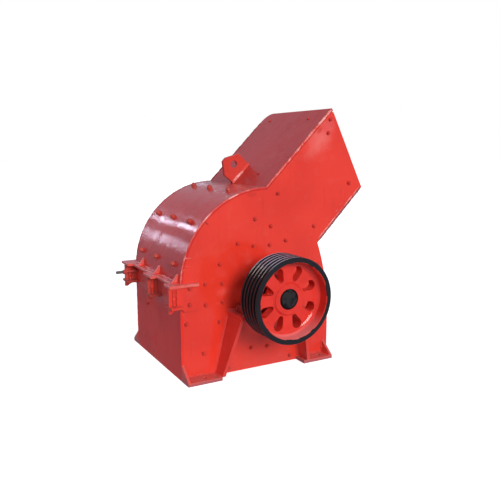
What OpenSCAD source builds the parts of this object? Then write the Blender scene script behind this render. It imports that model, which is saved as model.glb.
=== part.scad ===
// Hammer crusher: a welded housing with an inclined feed hopper, a rotor with
// discs and hammers, a spoked V-belt pulley and a flywheel.
// Z is up, the rotor turns about Y, and X points to the feed mouth.
// The origin lies on the floor below the rotor axis, at mid-width.

/* [Housing] */
// Width over the outer faces of the two side plates
housing_width = 600; // [500:10:800]
// Thickness of a side plate
side_t = 20; // [12:1:26]
// Thickness of the end, cover and hopper plates
wall_t = 12; // [8:1:16]
// How far the side plates stand proud of the front wall between them
lip = 20; // [8:1:28]
// Distance from the rotor axis to the outer face of the end wall
back_reach = 405; // [395:5:500]
// Distance from the rotor axis to the front edge of the side plates
front_reach = 391; // [380:1:470]
// Outer radius of the curved cover
cover_r = 434; // [424:1:520]
// Height of the centre of the curved cover
cover_z = 425; // [420:5:520]
// Radius of the bowed front edge below the hopper
bow_r = 1100; // [900:20:2000]
// Height at which the front edge turns plumb
bow_z = 200; // [120:10:260]

/* [Hopper] */
// Slope of the hopper above the level
chute_angle = 45; // [40:1:50]
// Length of the hopper's upper edge
chute_len = 516; // [430:1:640]
// Depth of the hopper side, square to its slope
chute_depth = 407; // [370:1:440]
// Angle by which the mouth leans back from square
mouth_lean = 18; // [0:1:25]
// Radius of the hopper's far top corner
far_corner_r = 60; // [20:5:80]
// Radius of the hopper's near top corner
near_corner_r = 14; // [4:1:30]

/* [Feet and anchor holes] */
// Length of a foot plate
foot_len = 167; // [120:1:200]
// Width of a foot plate
foot_width = 75; // [60:1:100]
// Thickness of a foot plate
foot_t = 16; // [10:1:25]
// Diameter of an anchor hole
anchor_d = 22; // [14:1:30]
// Height of the end gusset above the foot plate
foot_gusset_h = 60; // [30:1:80]
// Distance from the rotor axis to an anchor hole, along the machine
anchor_x = 312; // [300:1:320]
// Distance from a side plate to an anchor hole
anchor_y = 40; // [30:1:50]
// How far the front feet stay behind the front edge
foot_setback = 19; // [0:1:30]

/* [Bearings and stands] */
// Height of the rotor axis above the floor
rotor_z = 389; // [380:1:480]
// Diameter of the shaft in the bearings and wheels
shaft_d = 80; // [60:1:96]
// Height of the bearing centre above its base
bearing_h = 89; // [80:1:110]
// Length of the bearing base
bearing_len = 292; // [240:2:320]
// Width of the bearing base
bearing_width = 78; // [60:1:94]
// Diameter of a bolt hole in the bearing base and the shelf
bearing_bolt_d = 22; // [16:1:26]
// Width of the shelf that carries the bearing
shelf_width = 130; // [110:1:160]
// Length of the shelf that carries the bearing
shelf_len = 348; // [330:2:400]
// Thickness of the shelf
shelf_t = 20; // [12:1:30]
// Thickness of a stand rib
rib_t = 16; // [10:1:24]
// Distance from the rotor axis to the outer foot of a rib
rib_foot_x = 239; // [200:1:250]

/* [Rotor] */
// Radius of the circle that the hammer tips sweep
tip_r = 300; // [250:2:305]
// Radius of a rotor disc
disc_r = 200; // [190:2:220]
// Thickness of a rotor disc
disc_t = 20; // [12:1:26]
// Number of rotor discs
disc_count = 7; // [4:1:7]
// Distance between two neighbouring discs, face to face
disc_gap = 56; // [50:1:58]
// Diameter of the shaft inside the rotor
core_d = 110; // [100:2:130]
// Distance from the rotor axis to a hammer pin
pin_reach = 160; // [150:2:165]
// Diameter of a hammer pin
pin_d = 36; // [24:1:44]
// Thickness of a hammer
hammer_t = 46; // [30:1:48]
// Width of a hammer head
hammer_head_w = 96; // [70:2:110]

/* [Pulley and flywheel] */
// Outer radius of the pulley and the flywheel
wheel_r = 192; // [175:1:230]
// Thickness of the rim, radially
rim_t = 24; // [21:1:34]
// Number of belt grooves
groove_count = 5; // [3:1:6]
// Distance between two neighbouring grooves
groove_pitch = 25.5; // [24:0.5:28]
// Depth of a belt groove
groove_depth = 16; // [10:1:17]
// Width of a belt groove at the rim
groove_top = 19; // [14:0.5:20]
// Width of the land outside the last groove
edge_land = 7.5; // [4:0.5:12]
// Distance from the bearing base to the inner face of a wheel
wheel_gap = 57; // [40:1:90]
// Width of the flywheel rim
flywheel_width = 100; // [80:2:140]
// Number of holes in a wheel's web
web_holes = 8; // [5:1:8]

/* [Discharge grate] */
// Gap between the hammer tips and the grate
grate_gap = 18; // [10:1:20]
// Depth of a grate bar
bar_depth = 25; // [15:1:30]
// Thickness of a grate bar
bar_t = 14; // [8:1:18]
// Angle between two neighbouring bars
bar_step = 6.5; // [5:0.5:8]

/* [Clamps] */
// Height of the joint between the end wall and the curved cover
joint_z = 438; // [430:1:440]
// Reach of a clamp bracket from the end wall
clamp_reach = 59; // [45:1:80]
// Height of a clamp bracket below the joint
clamp_h = 112; // [95:1:140]
// Diameter of a clamp stud
stud_d = 16; // [12:1:24]

/* [Lifting lug] */
// Width of the lug along the slope
lug_w = 126; // [100:2:150]
// Height of the lug above the slope
lug_h = 116; // [90:2:130]
// Thickness of the lug
lug_t = 20; // [12:1:26]
// Diameter of the lug's hole
lug_hole_d = 36; // [24:1:44]

/* [Hidden] */
$fn = 96;
half_w = housing_width/2;
inner_y = half_w - side_t;
cover_x = cover_r - back_reach;
cover_top = cover_z + cover_r;
bow_x = front_reach - bow_r;
wall_in = lip + wall_t;
body_top = cover_z + 275;
lap = 40;
shelf_z = rotor_z - bearing_h;
bearing_base_h = 28;
bearing_ring_r = 82;
seal_clear = 7;
liner_t = 12;
cover_liner_t = 20;
liner_y = inner_y - liner_t;
fit = 0.05;
rotor_half = (disc_count*disc_t + (disc_count - 1)*disc_gap)/2;
bearing_y = half_w + 26 + bearing_width/2;
wheel_y = bearing_y + bearing_width/2 + wheel_gap;
pulley_width = (groove_count - 1)*groove_pitch + groove_top + 2*edge_land;
pulley_face_y = wheel_y + pulley_width;
flywheel_face_y = wheel_y + flywheel_width;
web_recess = 55;
boss_r = 68;
boss_proud = 10;
shaft_proud = 4;
shaft_c = 3;
shaft_near_y = pulley_face_y - web_recess + boss_proud + shaft_proud;
shaft_far_y = flywheel_face_y - web_recess + boss_proud + shaft_proud;
edge_c = 2;
bore_c = 5;
fillet = 8;
lug_y = 35;
clamp_x = -back_reach - clamp_reach;
clamp_web_t = 15;
clamp_cap_w = 100;
clamp_lap = 81;
clamp_shift = -35;
clamp_rim = 14;
clamp_head = 8;
clamp_seat_t = 10;
clamp_seat_z = joint_z - clamp_h + 22;
clamp_slack = 3;
flange_t = 12;
flange_reach = 31;
gusset_h = 38;
gusset_t = 12;

// ---- helpers ----

// Stands a drawing of X and Z up, with its thickness from y0 to y1
module upright(y0, y1)
    translate([0, y1, 0]) rotate([90, 0, 0]) linear_extrude(y1 - y0) children();

// Repeats a part on the near side (-1) or the far side (1)
module on_side(s) mirror([0, s < 0 ? 1 : 0, 0]) children();

// What rounding takes off a corner at the origin that points to +X and +Y
module corner_round(r) translate([-r, -r]) difference() {
    square(2*r);
    circle(r);
}

// Moves a drawing into the hopper's own frame: u up the slope, v square to it
module on_chute() translate([cover_x, cover_top]) rotate(chute_angle) children();

// ---- outlines in X and Z ----

// A band of the hopper between two depths below its upper edge
module chute_band(v0, v1, u0)
    on_chute() polygon([[u0, -v1], [chute_len - v1*tan(mouth_lean), -v1],
        [chute_len - v0*tan(mouth_lean), -v0], [u0, -v0]]);

// All that lies behind the front edge, moved in by an inset
module behind_front(inset) {
    translate([-back_reach, 0]) square([back_reach + front_reach - inset, bow_z]);
    intersection() {
        translate([-back_reach, bow_z - 1])
            square([2*back_reach + front_reach, body_top - bow_z]);
        translate([bow_x, bow_z]) circle(bow_r - inset, $fn = 360);
    }
}

// The housing's side outline: moved in by back_in behind the end wall and under the
// cover and the hopper's top plate, and by front_in at the front and the underside
module housing_outline(back_in, front_in) {
    intersection() {
        translate([cover_x, cover_z]) circle(cover_r - back_in, $fn = 180);
        translate([cover_x - cover_r, cover_z - 1]) square([cover_r + lap, cover_r + 1]);
    }
    translate([-back_reach + back_in, 0]) square([cover_r - back_in, cover_z]);
    intersection() {
        behind_front(front_in);
        translate([cover_x - lap, 0]) square([bow_r, body_top]);
    }
    intersection() {
        chute_band(back_in, chute_depth - front_in, -chute_depth);
        translate([cover_x - lap, 0]) square([3*bow_r, 3*bow_r]);
    }
}

// A ring sector around the rotor axis
module rotor_ring(r_in, r_out, a0, a1)
    translate([0, rotor_z]) intersection() {
        difference() {
            circle(r_out, $fn = 180);
            circle(r_in, $fn = 180);
        }
        polygon([[0, 0], for (i = [0:4]) let (a = a0 + (a1 - a0)*i/4)
            2*r_out*[cos(a), sin(a)]]);
    }

// ---- housing ----

module side_plate(s)
    color("#E0322A") on_side(s) upright(inner_y, half_w) difference() {
        housing_outline(wall_t + fit, 0);
        translate([0, rotor_z]) circle(shaft_d/2 + 20);
        on_chute() translate([chute_len - wall_t*tan(mouth_lean), -wall_t])
            corner_round(s < 0 ? near_corner_r : far_corner_r*0.6);
    }

module end_wall()
    color("#B02A26") upright(-half_w, half_w)
        translate([-back_reach, 0]) square([wall_t, joint_z]);

module curved_cover()
    color("#B02A26") upright(-half_w, half_w) intersection() {
        translate([cover_x, cover_z]) difference() {
            circle(cover_r, $fn = 180);
            circle(cover_r - wall_t, $fn = 180);
        }
        translate([cover_x - cover_r, joint_z]) square([cover_r, cover_r]);
    }

module hopper_top_plate()
    color("#B02A26") difference() {
        upright(-half_w, half_w) difference() {
            intersection() {
                chute_band(0, wall_t, -chute_depth);
                translate([cover_x, 0]) square([3*bow_r, 3*bow_r]);
            }
            translate([cover_x, cover_z]) circle(cover_r - wall_t, $fn = 180);
        }
        translate([cover_x, 0, cover_top]) rotate([0, -chute_angle, 0])
            translate([chute_len, half_w, -2*wall_t]) linear_extrude(4*wall_t)
                corner_round(far_corner_r);
    }

module hopper_floor_plate()
    color("#B02A26") upright(-inner_y, inner_y) difference() {
        chute_band(chute_depth - wall_in, chute_depth - lip, -chute_depth);
        behind_front(wall_in);
    }

module feed_end_wall()
    color("#B02A26") upright(-inner_y, inner_y) difference() {
        behind_front(lip);
        behind_front(wall_in);
        on_chute() translate([-2*bow_r, -chute_depth + lip]) square(4*bow_r);
    }

module side_liner(s)
    color("#5A5552") on_side(s) upright(liner_y, inner_y) difference() {
        intersection() {
            housing_outline(wall_t + 0.5, wall_in + 0.5);
            translate([-back_reach, 40]) square([2*bow_r, 2*bow_r]);
            on_chute() translate([-2*bow_r, -2*bow_r])
                square([2*bow_r + 140, 3*bow_r]);
        }
        translate([0, rotor_z]) circle(shaft_d/2 + 20);
    }

module cover_liners()
    color("#5A5552") for (a = [10, 35, 60])
        upright(-liner_y + 1, liner_y - 1) translate([cover_x, cover_z])
            intersection() {
                difference() {
                    circle(cover_r - wall_t - 0.2, $fn = 180);
                    circle(cover_r - wall_t - cover_liner_t, $fn = 180);
                }
                polygon([[0, 0], for (b = [0, 8, 16, 24])
                    2*cover_r*[-cos(a + b), sin(a + b)]]);
            }

module discharge_grate() {
    r_in = tip_r + grate_gap;
    r_out = r_in + bar_depth;
    rail_t = 12;
    y_end = liner_y - 0.3;
    color("#5A5552") {
        for (s = [-1, 1]) on_side(s)
            upright(y_end - rail_t, y_end) rotor_ring(r_in, r_out, 205, 335);
        upright(-y_end + rail_t/2, y_end - rail_t/2) intersection() {
            rotor_ring(r_in + 1, r_out - 1, 205, 335);
            translate([0, rotor_z]) for (a = [207:bar_step:333])
                rotate(a) translate([0, -bar_t/2]) square([2*r_out, bar_t]);
        }
    }
}

// ---- feet and bearing stands ----

// A foot plate with its end gusset; e is -1 at the back end, 1 at the front
module foot(s, e) {
    x_end = e < 0 ? -back_reach : front_reach - foot_setback;
    x0 = e < 0 ? x_end : x_end - foot_len;
    color("#C42C26") on_side(s) {
        difference() {
            translate([x0, half_w, 0]) cube([foot_len, foot_width, foot_t]);
            translate([e*anchor_x, half_w + anchor_y, -1])
                cylinder(d = anchor_d, h = foot_t + 2);
        }
        translate([e < 0 ? x_end : x_end - wall_t, 0, 0])
            rotate([90, 0, 90]) linear_extrude(wall_t)
                polygon([[half_w, foot_t/2], [half_w + foot_width, foot_t/2],
                    [half_w + foot_width, foot_t], [half_w, foot_t + foot_gusset_h]]);
    }
}

// A leaning stand rib, from the foot plate up to the shelf
module stand_rib(s, e) {
    top_x = shelf_len/2;
    rib_top = shelf_z - shelf_t;
    color("#C42C26") on_side(s) intersection() {
        upright(half_w, half_w + shelf_width)
            scale([e, 1]) polygon([[rib_foot_x - rib_t, foot_t],
                [rib_foot_x, foot_t], [top_x, rib_top], [top_x - rib_t, rib_top]]);
        translate([-2*top_x, 0, 0]) rotate([90, 0, 90]) linear_extrude(4*top_x)
            polygon([[half_w, 0], [half_w + foot_width, foot_t],
                [half_w + shelf_width, rib_top], [half_w, rib_top]]);
    }
}

// The two bolts of a bearing base, as upright rods for cutting their holes
module bearing_bolts()
    for (x = [-1, 1]) translate([x*bearing_len*0.4, bearing_y, shelf_z - 2*shelf_t])
        cylinder(d = bearing_bolt_d, h = 4*shelf_t);

module bearing_shelf(s)
    color("#C42C26") on_side(s) difference() {
        translate([-shelf_len/2, half_w, shelf_z - shelf_t])
            cube([shelf_len, shelf_width, shelf_t]);
        bearing_bolts();
    }

// A pillow block: a base with two bolt holes, a round housing on it, a shoulder
// for the cap's bolt on each side and a recess for the seal at each end
module bearing_housing(s) {
    ring_w = bearing_width - 16;
    ring_foot = bearing_ring_r + 20;
    ring_waist = bearing_ring_r*0.92;
    shoulder_x = 32;
    shoulder_y = 40;
    shoulder_top = bearing_h + 16;
    recess_r = bearing_ring_r - 20;
    recess_depth = 4;
    collar_r = shaft_d/2 + 9;
    color("#7E2A28") on_side(s) difference() {
        translate([0, bearing_y, shelf_z]) union() {
            linear_extrude(bearing_base_h) difference() {
                square([bearing_len, bearing_width], center = true);
                for (x = [0, 1], y = [0, 1]) mirror([x, 0]) mirror([0, y])
                    translate([bearing_len/2, bearing_width/2]) corner_round(14);
            }
            upright(-ring_w/2, ring_w/2) {
                translate([0, bearing_h]) circle(bearing_ring_r);
                polygon([[-ring_foot, bearing_base_h - 1],
                    [ring_foot, bearing_base_h - 1],
                    [ring_waist, bearing_h], [-ring_waist, bearing_h]]);
            }
            for (x = [-1, 1])
                translate([x*bearing_ring_r - shoulder_x/2, -shoulder_y/2,
                        bearing_base_h - 1])
                    cube([shoulder_x, shoulder_y, shoulder_top - bearing_base_h + 1]);
        }
        translate([0, bearing_y, rotor_z]) rotate([90, 0, 0]) {
            cylinder(d = shaft_d + 2*fit, h = 2*bearing_width, center = true);
            for (y = [-1, 1]) translate([0, 0, y*ring_w/2]) difference() {
                cylinder(r = recess_r, h = 2*recess_depth, center = true);
                cylinder(r = collar_r, h = 2*recess_depth + 2, center = true);
            }
        }
        bearing_bolts();
    }
}

module shaft_seal(s)
    color("#7E2A28") on_side(s) upright(half_w, half_w + 12)
        translate([0, rotor_z]) difference() {
            circle(bearing_h - seal_clear);
            circle(shaft_d/2 + 6);
        }

// ---- cover flange and clamps ----

// Middles of the three clamps and of the three gussets, across the machine
clamp_ys = [-half_w - clamp_web_t/2, clamp_shift, half_w + clamp_web_t/2];
gusset_ys = [-half_w + 35, clamp_shift - 5, half_w - 115];

// Outline of a clamp's cap in X and Y, seen from above, around a web at y
module clamp_cap(y) {
    translate([clamp_x, y - clamp_cap_w/2]) square([clamp_reach + wall_t, clamp_cap_w]);
    if (abs(y) > inner_y) translate([-back_reach - 1, y - clamp_cap_w/2])
        square([clamp_lap + 1, clamp_cap_w]);
}

module cover_flange()
    color("#D03A34") difference() {
        union() {
            translate([0, 0, joint_z]) linear_extrude(flange_t) {
                translate([-back_reach - flange_reach, -half_w])
                    square([flange_reach + wall_t, 2*half_w]);
                for (y = clamp_ys) clamp_cap(y);
            }
            for (y = gusset_ys) upright(y - gusset_t/2, y + gusset_t/2)
                translate([-back_reach, joint_z + flange_t]) polygon([
                    [-flange_reach + 3, -flange_t/2], [wall_t, -flange_t/2],
                    [wall_t, gusset_h], [0, gusset_h], [-flange_reach + 3, 0]]);
        }
        upright(-half_w - 1, half_w + 1)
            translate([cover_x, cover_z]) circle(cover_r, $fn = 180);
    }

// A clamp bracket below the joint: an upright web with a slot for the stud, and a
// seat across it
module clamp(y) {
    x1 = abs(y) > inner_y ? -back_reach + clamp_lap : -back_reach;
    heel_r = 40;
    color("#D03A34") {
        upright(y - clamp_web_t/2, y + clamp_web_t/2) difference() {
            translate([clamp_x, joint_z - clamp_h]) square([x1 - clamp_x, clamp_h]);
            translate([clamp_x + clamp_rim, clamp_seat_z + clamp_seat_t])
                square([stud_d + 2*clamp_slack,
                    joint_z - clamp_seat_z - clamp_seat_t - clamp_head]);
            translate([clamp_x + clamp_reach*0.72, joint_z - clamp_h - heel_r*0.65])
                circle(heel_r);
        }
        translate([clamp_x, y - clamp_cap_w*0.4, clamp_seat_z])
            cube([clamp_reach - 2, clamp_cap_w*0.8, clamp_seat_t]);
    }
}

module clamp_studs()
    color("#8A8A88") for (y = clamp_ys)
        translate([clamp_x + clamp_rim + clamp_slack + stud_d/2, y,
                clamp_seat_z + clamp_seat_t + 2*fit])
            cylinder(d = stud_d, h = joint_z - clamp_seat_z - clamp_seat_t
                - clamp_head - 4*fit);

module adjusting_stud()
    color("#8A8A88") translate([-back_reach, inner_y + 2, joint_z - 33])
        rotate([0, -90, 0]) cylinder(d = 16, h = 113);

module lifting_lug()
    color("#E0322A") upright(lug_y, lug_y + lug_t) on_chute() difference() {
        translate([6, 0]) polygon([[0, 0], [lug_w, 0], [lug_w, lug_h*0.68],
            [lug_w*0.48, lug_h], [lug_w*0.28, lug_h], [-lug_w*0.06, lug_h*0.52]]);
        translate([6 + lug_w*0.54, lug_h*0.53]) circle(d = lug_hole_d);
    }

// ---- rotor ----

// A revolved shape around the rotor axis; its drawing has r and y
module about_rotor()
    translate([0, 0, rotor_z]) rotate([-90, 0, 0]) rotate_extrude($fn = 180)
        children();

module main_shaft()
    color("#26282A") about_rotor() {
        polygon([[0, -shaft_near_y], [shaft_d/2 - shaft_c, -shaft_near_y],
            [shaft_d/2, -shaft_near_y + shaft_c], [shaft_d/2, shaft_far_y - shaft_c],
            [shaft_d/2 - shaft_c, shaft_far_y], [0, shaft_far_y]]);
        translate([0, -rotor_half - 12]) square([core_d/2, 2*rotor_half + 24]);
        for (s = [-1, 1]) translate([0, s > 0 ? rotor_half : -rotor_half - 12])
            square([core_d/2 + 16, 12]);
    }

// An egg-shaped web hole, wide end outwards, drawn along X
module web_hole() {
    r1 = 12;
    r2 = 23;
    c1 = boss_r + 12 + r1;
    c2 = wheel_r - rim_t - 18 - r2;
    a = acos((r1 - r2)/(c2 - c1));
    translate([c1, 0]) circle(r1);
    translate([c2, 0]) circle(r2);
    polygon([[c1 + r1*cos(a), r1*sin(a)], [c2 + r2*cos(a), r2*sin(a)],
        [c2 + r2*cos(a), -r2*sin(a)], [c1 + r1*cos(a), -r1*sin(a)]]);
}

// Half a wheel's section without grooves: chamfered rim, web, hub and corner fillets
module wheel_section(width, web_t) {
    rim_in = wheel_r - rim_t;
    bore_r = shaft_d/2 + fit;
    web_y = wheel_y + width - web_recess;
    boss_y = web_y + boss_proud;
    end_y = wheel_y + width;
    difference() {
        union() {
            polygon([[rim_in, wheel_y], [wheel_r - edge_c, wheel_y],
                [wheel_r, wheel_y + edge_c], [wheel_r, end_y - edge_c],
                [wheel_r - edge_c, end_y], [rim_in + edge_c, end_y],
                [rim_in, end_y - edge_c]]);
            translate([bore_r, web_y - web_t]) square([rim_in - bore_r + 1, web_t]);
            translate([bore_r, wheel_y]) square([boss_r - bore_r, boss_y - wheel_y]);
            polygon([[rim_in - fillet, web_y], [rim_in + 1, web_y],
                [rim_in + 1, web_y + fillet]]);
            polygon([[boss_r - 1, web_y], [boss_r + fillet, web_y],
                [boss_r - 1, web_y + fillet]]);
            polygon([[rim_in - fillet, web_y - web_t],
                [rim_in + 1, web_y - web_t - fillet], [rim_in + 1, web_y - web_t]]);
            polygon([[boss_r - 1, web_y - web_t - fillet],
                [boss_r + fillet, web_y - web_t], [boss_r - 1, web_y - web_t]]);
        }
        polygon([[bore_r - 1, boss_y - bore_c - 1], [bore_r + bore_c + 1, boss_y + 1],
            [bore_r - 1, boss_y + 1]]);
    }
}

// A wheel with rim, pierced web and hub; its inner face is at wheel_y
module wheel(width, web_t, grooves)
    translate([0, 0, rotor_z]) rotate([90, 0, 0]) difference() {
        rotate_extrude($fn = 180) difference() {
            wheel_section(width, web_t);
            for (i = [0:1:grooves - 1])
                translate([wheel_r, wheel_y + edge_land + groove_top/2 + i*groove_pitch])
                    polygon([[1, -groove_top/2 - 0.33], [1, groove_top/2 + 0.33],
                        [-groove_depth, groove_top/2 - groove_depth*0.33],
                        [-groove_depth, -groove_top/2 + groove_depth*0.33]]);
        }
        for (i = [0:web_holes - 1]) rotate(180/web_holes + i*360/web_holes)
            translate([0, 0, wheel_y]) linear_extrude(width) web_hole();
    }

module drive_pulley()
    color("#1E1E20") wheel(pulley_width, 45, groove_count);

module flywheel()
    color("#1E1E20") on_side(-1) wheel(flywheel_width, 25, 0);

// Middles of the gaps between the discs
gap_ys = [for (i = [0:disc_count - 2])
    -rotor_half + disc_t + disc_gap/2 + i*(disc_t + disc_gap)];

module rotor_discs()
    color("#6A6C70") for (i = [0:disc_count - 1])
        let (y = -rotor_half + i*(disc_t + disc_gap))
            upright(y, y + disc_t) translate([0, rotor_z]) difference() {
                circle(disc_r, $fn = 180);
                circle(core_d/2 + fit);
                for (a = [45:90:315]) rotate(a) translate([pin_reach, 0])
                    circle(pin_d/2 + 0.2);
            }

module rotor_spacers()
    color("#55575B") for (y = gap_ys)
        upright(y - disc_gap/2, y + disc_gap/2) translate([0, rotor_z])
            difference() {
                circle(core_d/2 + 25);
                circle(core_d/2 + fit);
            }

module hammer_pins()
    color("#8A8A88") for (a = [45:90:315])
        upright(-rotor_half - 10, rotor_half + 10) translate([0, rotor_z])
            rotate(a) translate([pin_reach, 0]) circle(pin_d/2);

module hammer2d() {
    eye_r = pin_d/2 + 18;
    neck = eye_r*1.5;
    reach = tip_r - pin_reach;
    difference() {
        union() {
            circle(eye_r);
            translate([0, -neck/2]) square([reach*0.75, neck]);
            translate([reach*0.45, -hammer_head_w/2]) polygon([
                [0, hammer_head_w/2 - neck/2], [14, 0], [reach*0.55 - 2, 0],
                [reach*0.55 - 2, hammer_head_w], [14, hammer_head_w],
                [0, hammer_head_w/2 + neck/2]]);
        }
        circle(pin_d/2 + 0.4);
    }
}

module hammers()
    color("#3E4044") for (y = gap_ys, a = [45:90:315])
        upright(y - hammer_t/2, y + hammer_t/2) translate([0, rotor_z])
            rotate(a) translate([pin_reach, 0]) hammer2d();

side_plate(-1);  // near_side_plate
side_plate(1);  // far_side_plate
end_wall();
curved_cover();
hopper_top_plate();
hopper_floor_plate();
feed_end_wall();
side_liner(-1);  // near_side_liner
side_liner(1);  // far_side_liner
cover_liners();
discharge_grate();
foot(-1, -1);  // near_back_foot
foot(-1, 1);  // near_front_foot
foot(1, -1);  // far_back_foot
foot(1, 1);  // far_front_foot
stand_rib(-1, -1);  // near_back_rib
stand_rib(-1, 1);  // near_front_rib
stand_rib(1, -1);  // far_back_rib
stand_rib(1, 1);  // far_front_rib
bearing_shelf(-1);  // near_bearing_shelf
bearing_shelf(1);  // far_bearing_shelf
bearing_housing(-1);  // near_bearing_housing
bearing_housing(1);  // far_bearing_housing
shaft_seal(-1);  // near_shaft_seal
shaft_seal(1);  // far_shaft_seal
cover_flange();
clamp(clamp_ys[0]);  // near_clamp
clamp(clamp_ys[1]);  // mid_clamp
clamp(clamp_ys[2]);  // far_clamp
clamp_studs();
adjusting_stud();
lifting_lug();
main_shaft();
drive_pulley();
flywheel();
rotor_discs();
rotor_spacers();
hammer_pins();
hammers();
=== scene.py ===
# %% [markdown]
# # A hammer crusher in Blender
#
# The machine is a welded steel box that breaks stone. A rotor with swinging hammers turns inside it, a
# grooved pulley drives the rotor, and stone falls in through the inclined hopper at the top.
#
# The large pieces come from a CAD model, so their shapes and places are fixed. What is left to do here is
# what a draughtsman leaves out: bolts, nuts, threads, weld beads, paint and wear. The first step is to load
# the CAD pieces.

# %% Load the frame
import math

import bpy
import numpy as np
from mathutils import Matrix, Vector


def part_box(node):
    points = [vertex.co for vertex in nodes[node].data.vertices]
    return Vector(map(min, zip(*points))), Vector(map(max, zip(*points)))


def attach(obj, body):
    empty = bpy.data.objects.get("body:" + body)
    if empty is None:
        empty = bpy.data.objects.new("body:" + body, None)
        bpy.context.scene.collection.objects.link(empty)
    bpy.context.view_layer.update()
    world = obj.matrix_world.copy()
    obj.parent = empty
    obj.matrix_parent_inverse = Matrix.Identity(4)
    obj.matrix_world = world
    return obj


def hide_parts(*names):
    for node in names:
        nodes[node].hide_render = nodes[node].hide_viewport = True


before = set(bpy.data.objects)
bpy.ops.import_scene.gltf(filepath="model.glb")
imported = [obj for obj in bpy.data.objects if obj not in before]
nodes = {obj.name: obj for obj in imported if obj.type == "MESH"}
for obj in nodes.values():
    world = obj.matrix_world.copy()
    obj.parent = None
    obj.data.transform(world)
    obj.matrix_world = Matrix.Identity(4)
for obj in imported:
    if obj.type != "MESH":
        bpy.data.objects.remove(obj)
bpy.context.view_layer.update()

# %% [markdown]
# ## The camera
#
# A camera in Blender is a position, a turn and a lens. A wide lens close by would make the machine look
# dramatic, with edges that run together. This one stands about three metres away instead, a little above
# the machine and to the left of its drive side, and looks down by ten degrees. A lens of 43 mm on a 36 mm
# sensor then keeps the upright edges almost parallel, so that the plates can be compared with each other.

# %% Camera
camera_data = bpy.data.cameras.new("works_camera")
camera_data.lens = 42.957
camera_data.sensor_width = 36.0
camera = bpy.data.objects.new("works_camera", camera_data)
camera.location = (-1.3708, -2.6721, 1.0435)
camera.rotation_euler = (math.radians(90 - 9.84), 0.0, math.radians(-29.01))
bpy.context.scene.collection.objects.link(camera)
bpy.context.scene.camera = camera
bpy.context.scene.view_settings.view_transform = "Standard"
print("camera stands", round(camera.location.length, 2), "m from the origin")

# %% [markdown]
# ## Two small helpers
#
# Colours are written as hex values, the way a paint chart gives them. Blender's shaders work with linear
# light, so one function turns a hex value into linear numbers. A second function adds one shader node,
# gives it its settings, and fills or links its sockets. Every material below is made with these two, so
# each node keeps its own name from Blender's manual and can be looked up there.

# %% Colour and node helpers
def linear(hex_colour):
    """Each channel c in 0..1 becomes c/12.92 below 0.04045, and ((c + 0.055)/1.055)^2.4 above."""
    c = np.array([int(hex_colour[i : i + 2], 16) for i in (1, 3, 5)]) / 255.0
    low, high = c / 12.92, ((c + 0.055) / 1.055) ** 2.4
    return (*np.where(c <= 0.04045, low, high).tolist(), 1.0)


def add(tree, kind, sockets=(), output=0, **settings):
    """Adds one node, whose type is ShaderNode and its kind, and returns one of its outputs. settings are
    the node's own attributes. sockets are its inputs, as a row in their order or as a dict by name or
    number: each is a plain value, a hex colour, or another node's output, which is then linked."""
    made = tree.nodes.new("ShaderNode" + kind)
    for name, value in settings.items():
        setattr(made, name, value)
    for key, value in sockets.items() if isinstance(sockets, dict) else enumerate(sockets):
        socket = made.inputs[key]
        if isinstance(value, bpy.types.NodeSocket):
            tree.links.new(value, socket)
        else:
            socket.default_value = linear(value) if isinstance(value, str) else value
    return made.outputs[output] if len(made.outputs) else made


print("white is", linear("#FFFFFF"))

# %% [markdown]
# ## Meshes as arrays
#
# A mesh could be built point by point, or shaped from Blender's ready cubes and cylinders. Every new piece
# here is a surface worked out with numpy instead. It is held as three arrays: its points, the point numbers
# of all its faces in one row, and how many of them each face takes. Blender reads such arrays in one go,
# which is much quicker, and the formula of the shape stays in plain sight.

# %% Mesh helper
def mesh_object(name, surface):
    """A new object at the origin whose mesh holds its place. surface is (points, loops, sizes)."""
    points, loops, sizes = surface
    mesh = bpy.data.meshes.new(name)
    mesh.vertices.add(len(points))
    mesh.vertices.foreach_set("co", np.asarray(points, np.float32).ravel())
    mesh.loops.add(len(loops))
    mesh.loops.foreach_set("vertex_index", np.asarray(loops, np.int32))
    starts = np.concatenate([[0], np.cumsum(sizes)[:-1]]).astype(np.int32)
    mesh.polygons.add(len(sizes))
    mesh.polygons.foreach_set("loop_start", starts)
    mesh.update(calc_edges=True)
    mesh.validate()
    made = bpy.data.objects.new(name, mesh)
    bpy.context.scene.collection.objects.link(made)
    return made


print("mesh helper ready:", len(bpy.data.meshes), "CAD meshes so far")

# %% [markdown]
# ## The floor
#
# The machine stands on a plain pale floor, which only carries its shadow. A floor that was simply white
# would throw its light back up and fill all the shade. This one glows a little, so that it stays pale under
# every light, and it is hidden from the mirror rays and the bounce rays, so that it lights nothing.

# %% Floor
FLOOR_HALF = 40.0
corners = FLOOR_HALF * np.array([[-1, -1, 0], [1, -1, 0], [1, 1, 0], [-1, 1, 0]], float)
floor = mesh_object("studio_floor", (corners, np.arange(4), np.array([4])))
floor_paint = bpy.data.materials.new("matt_white_floor_paint")
floor_paint.use_nodes = True
floor_tree = floor_paint.node_tree
floor_tree.nodes.clear()
matt_white = add(
    floor_tree,
    "BsdfPrincipled",
    {
        "Base Color": "#D8D8D8",
        "Roughness": 0.9,
        "Specular IOR Level": 0.1,
        "Emission Color": "#FFFFFF",
        "Emission Strength": 0.78,
    },
)
add(floor_tree, "OutputMaterial", {"Surface": matt_white})
floor.data.materials.append(floor_paint)
floor.visible_diffuse = False
floor.visible_glossy = False
print("floor", 2 * FLOOR_HALF, "m wide")

# %% [markdown]
# ## The sky
#
# An evenly white sky would light the machine from all sides and leave it flat. This sky is a grey dome: it
# is dimmest towards the ground behind the machine, brighter in front, and brightest overhead, as under an
# overcast day with a dark yard behind. The camera itself sees plain white.

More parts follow.
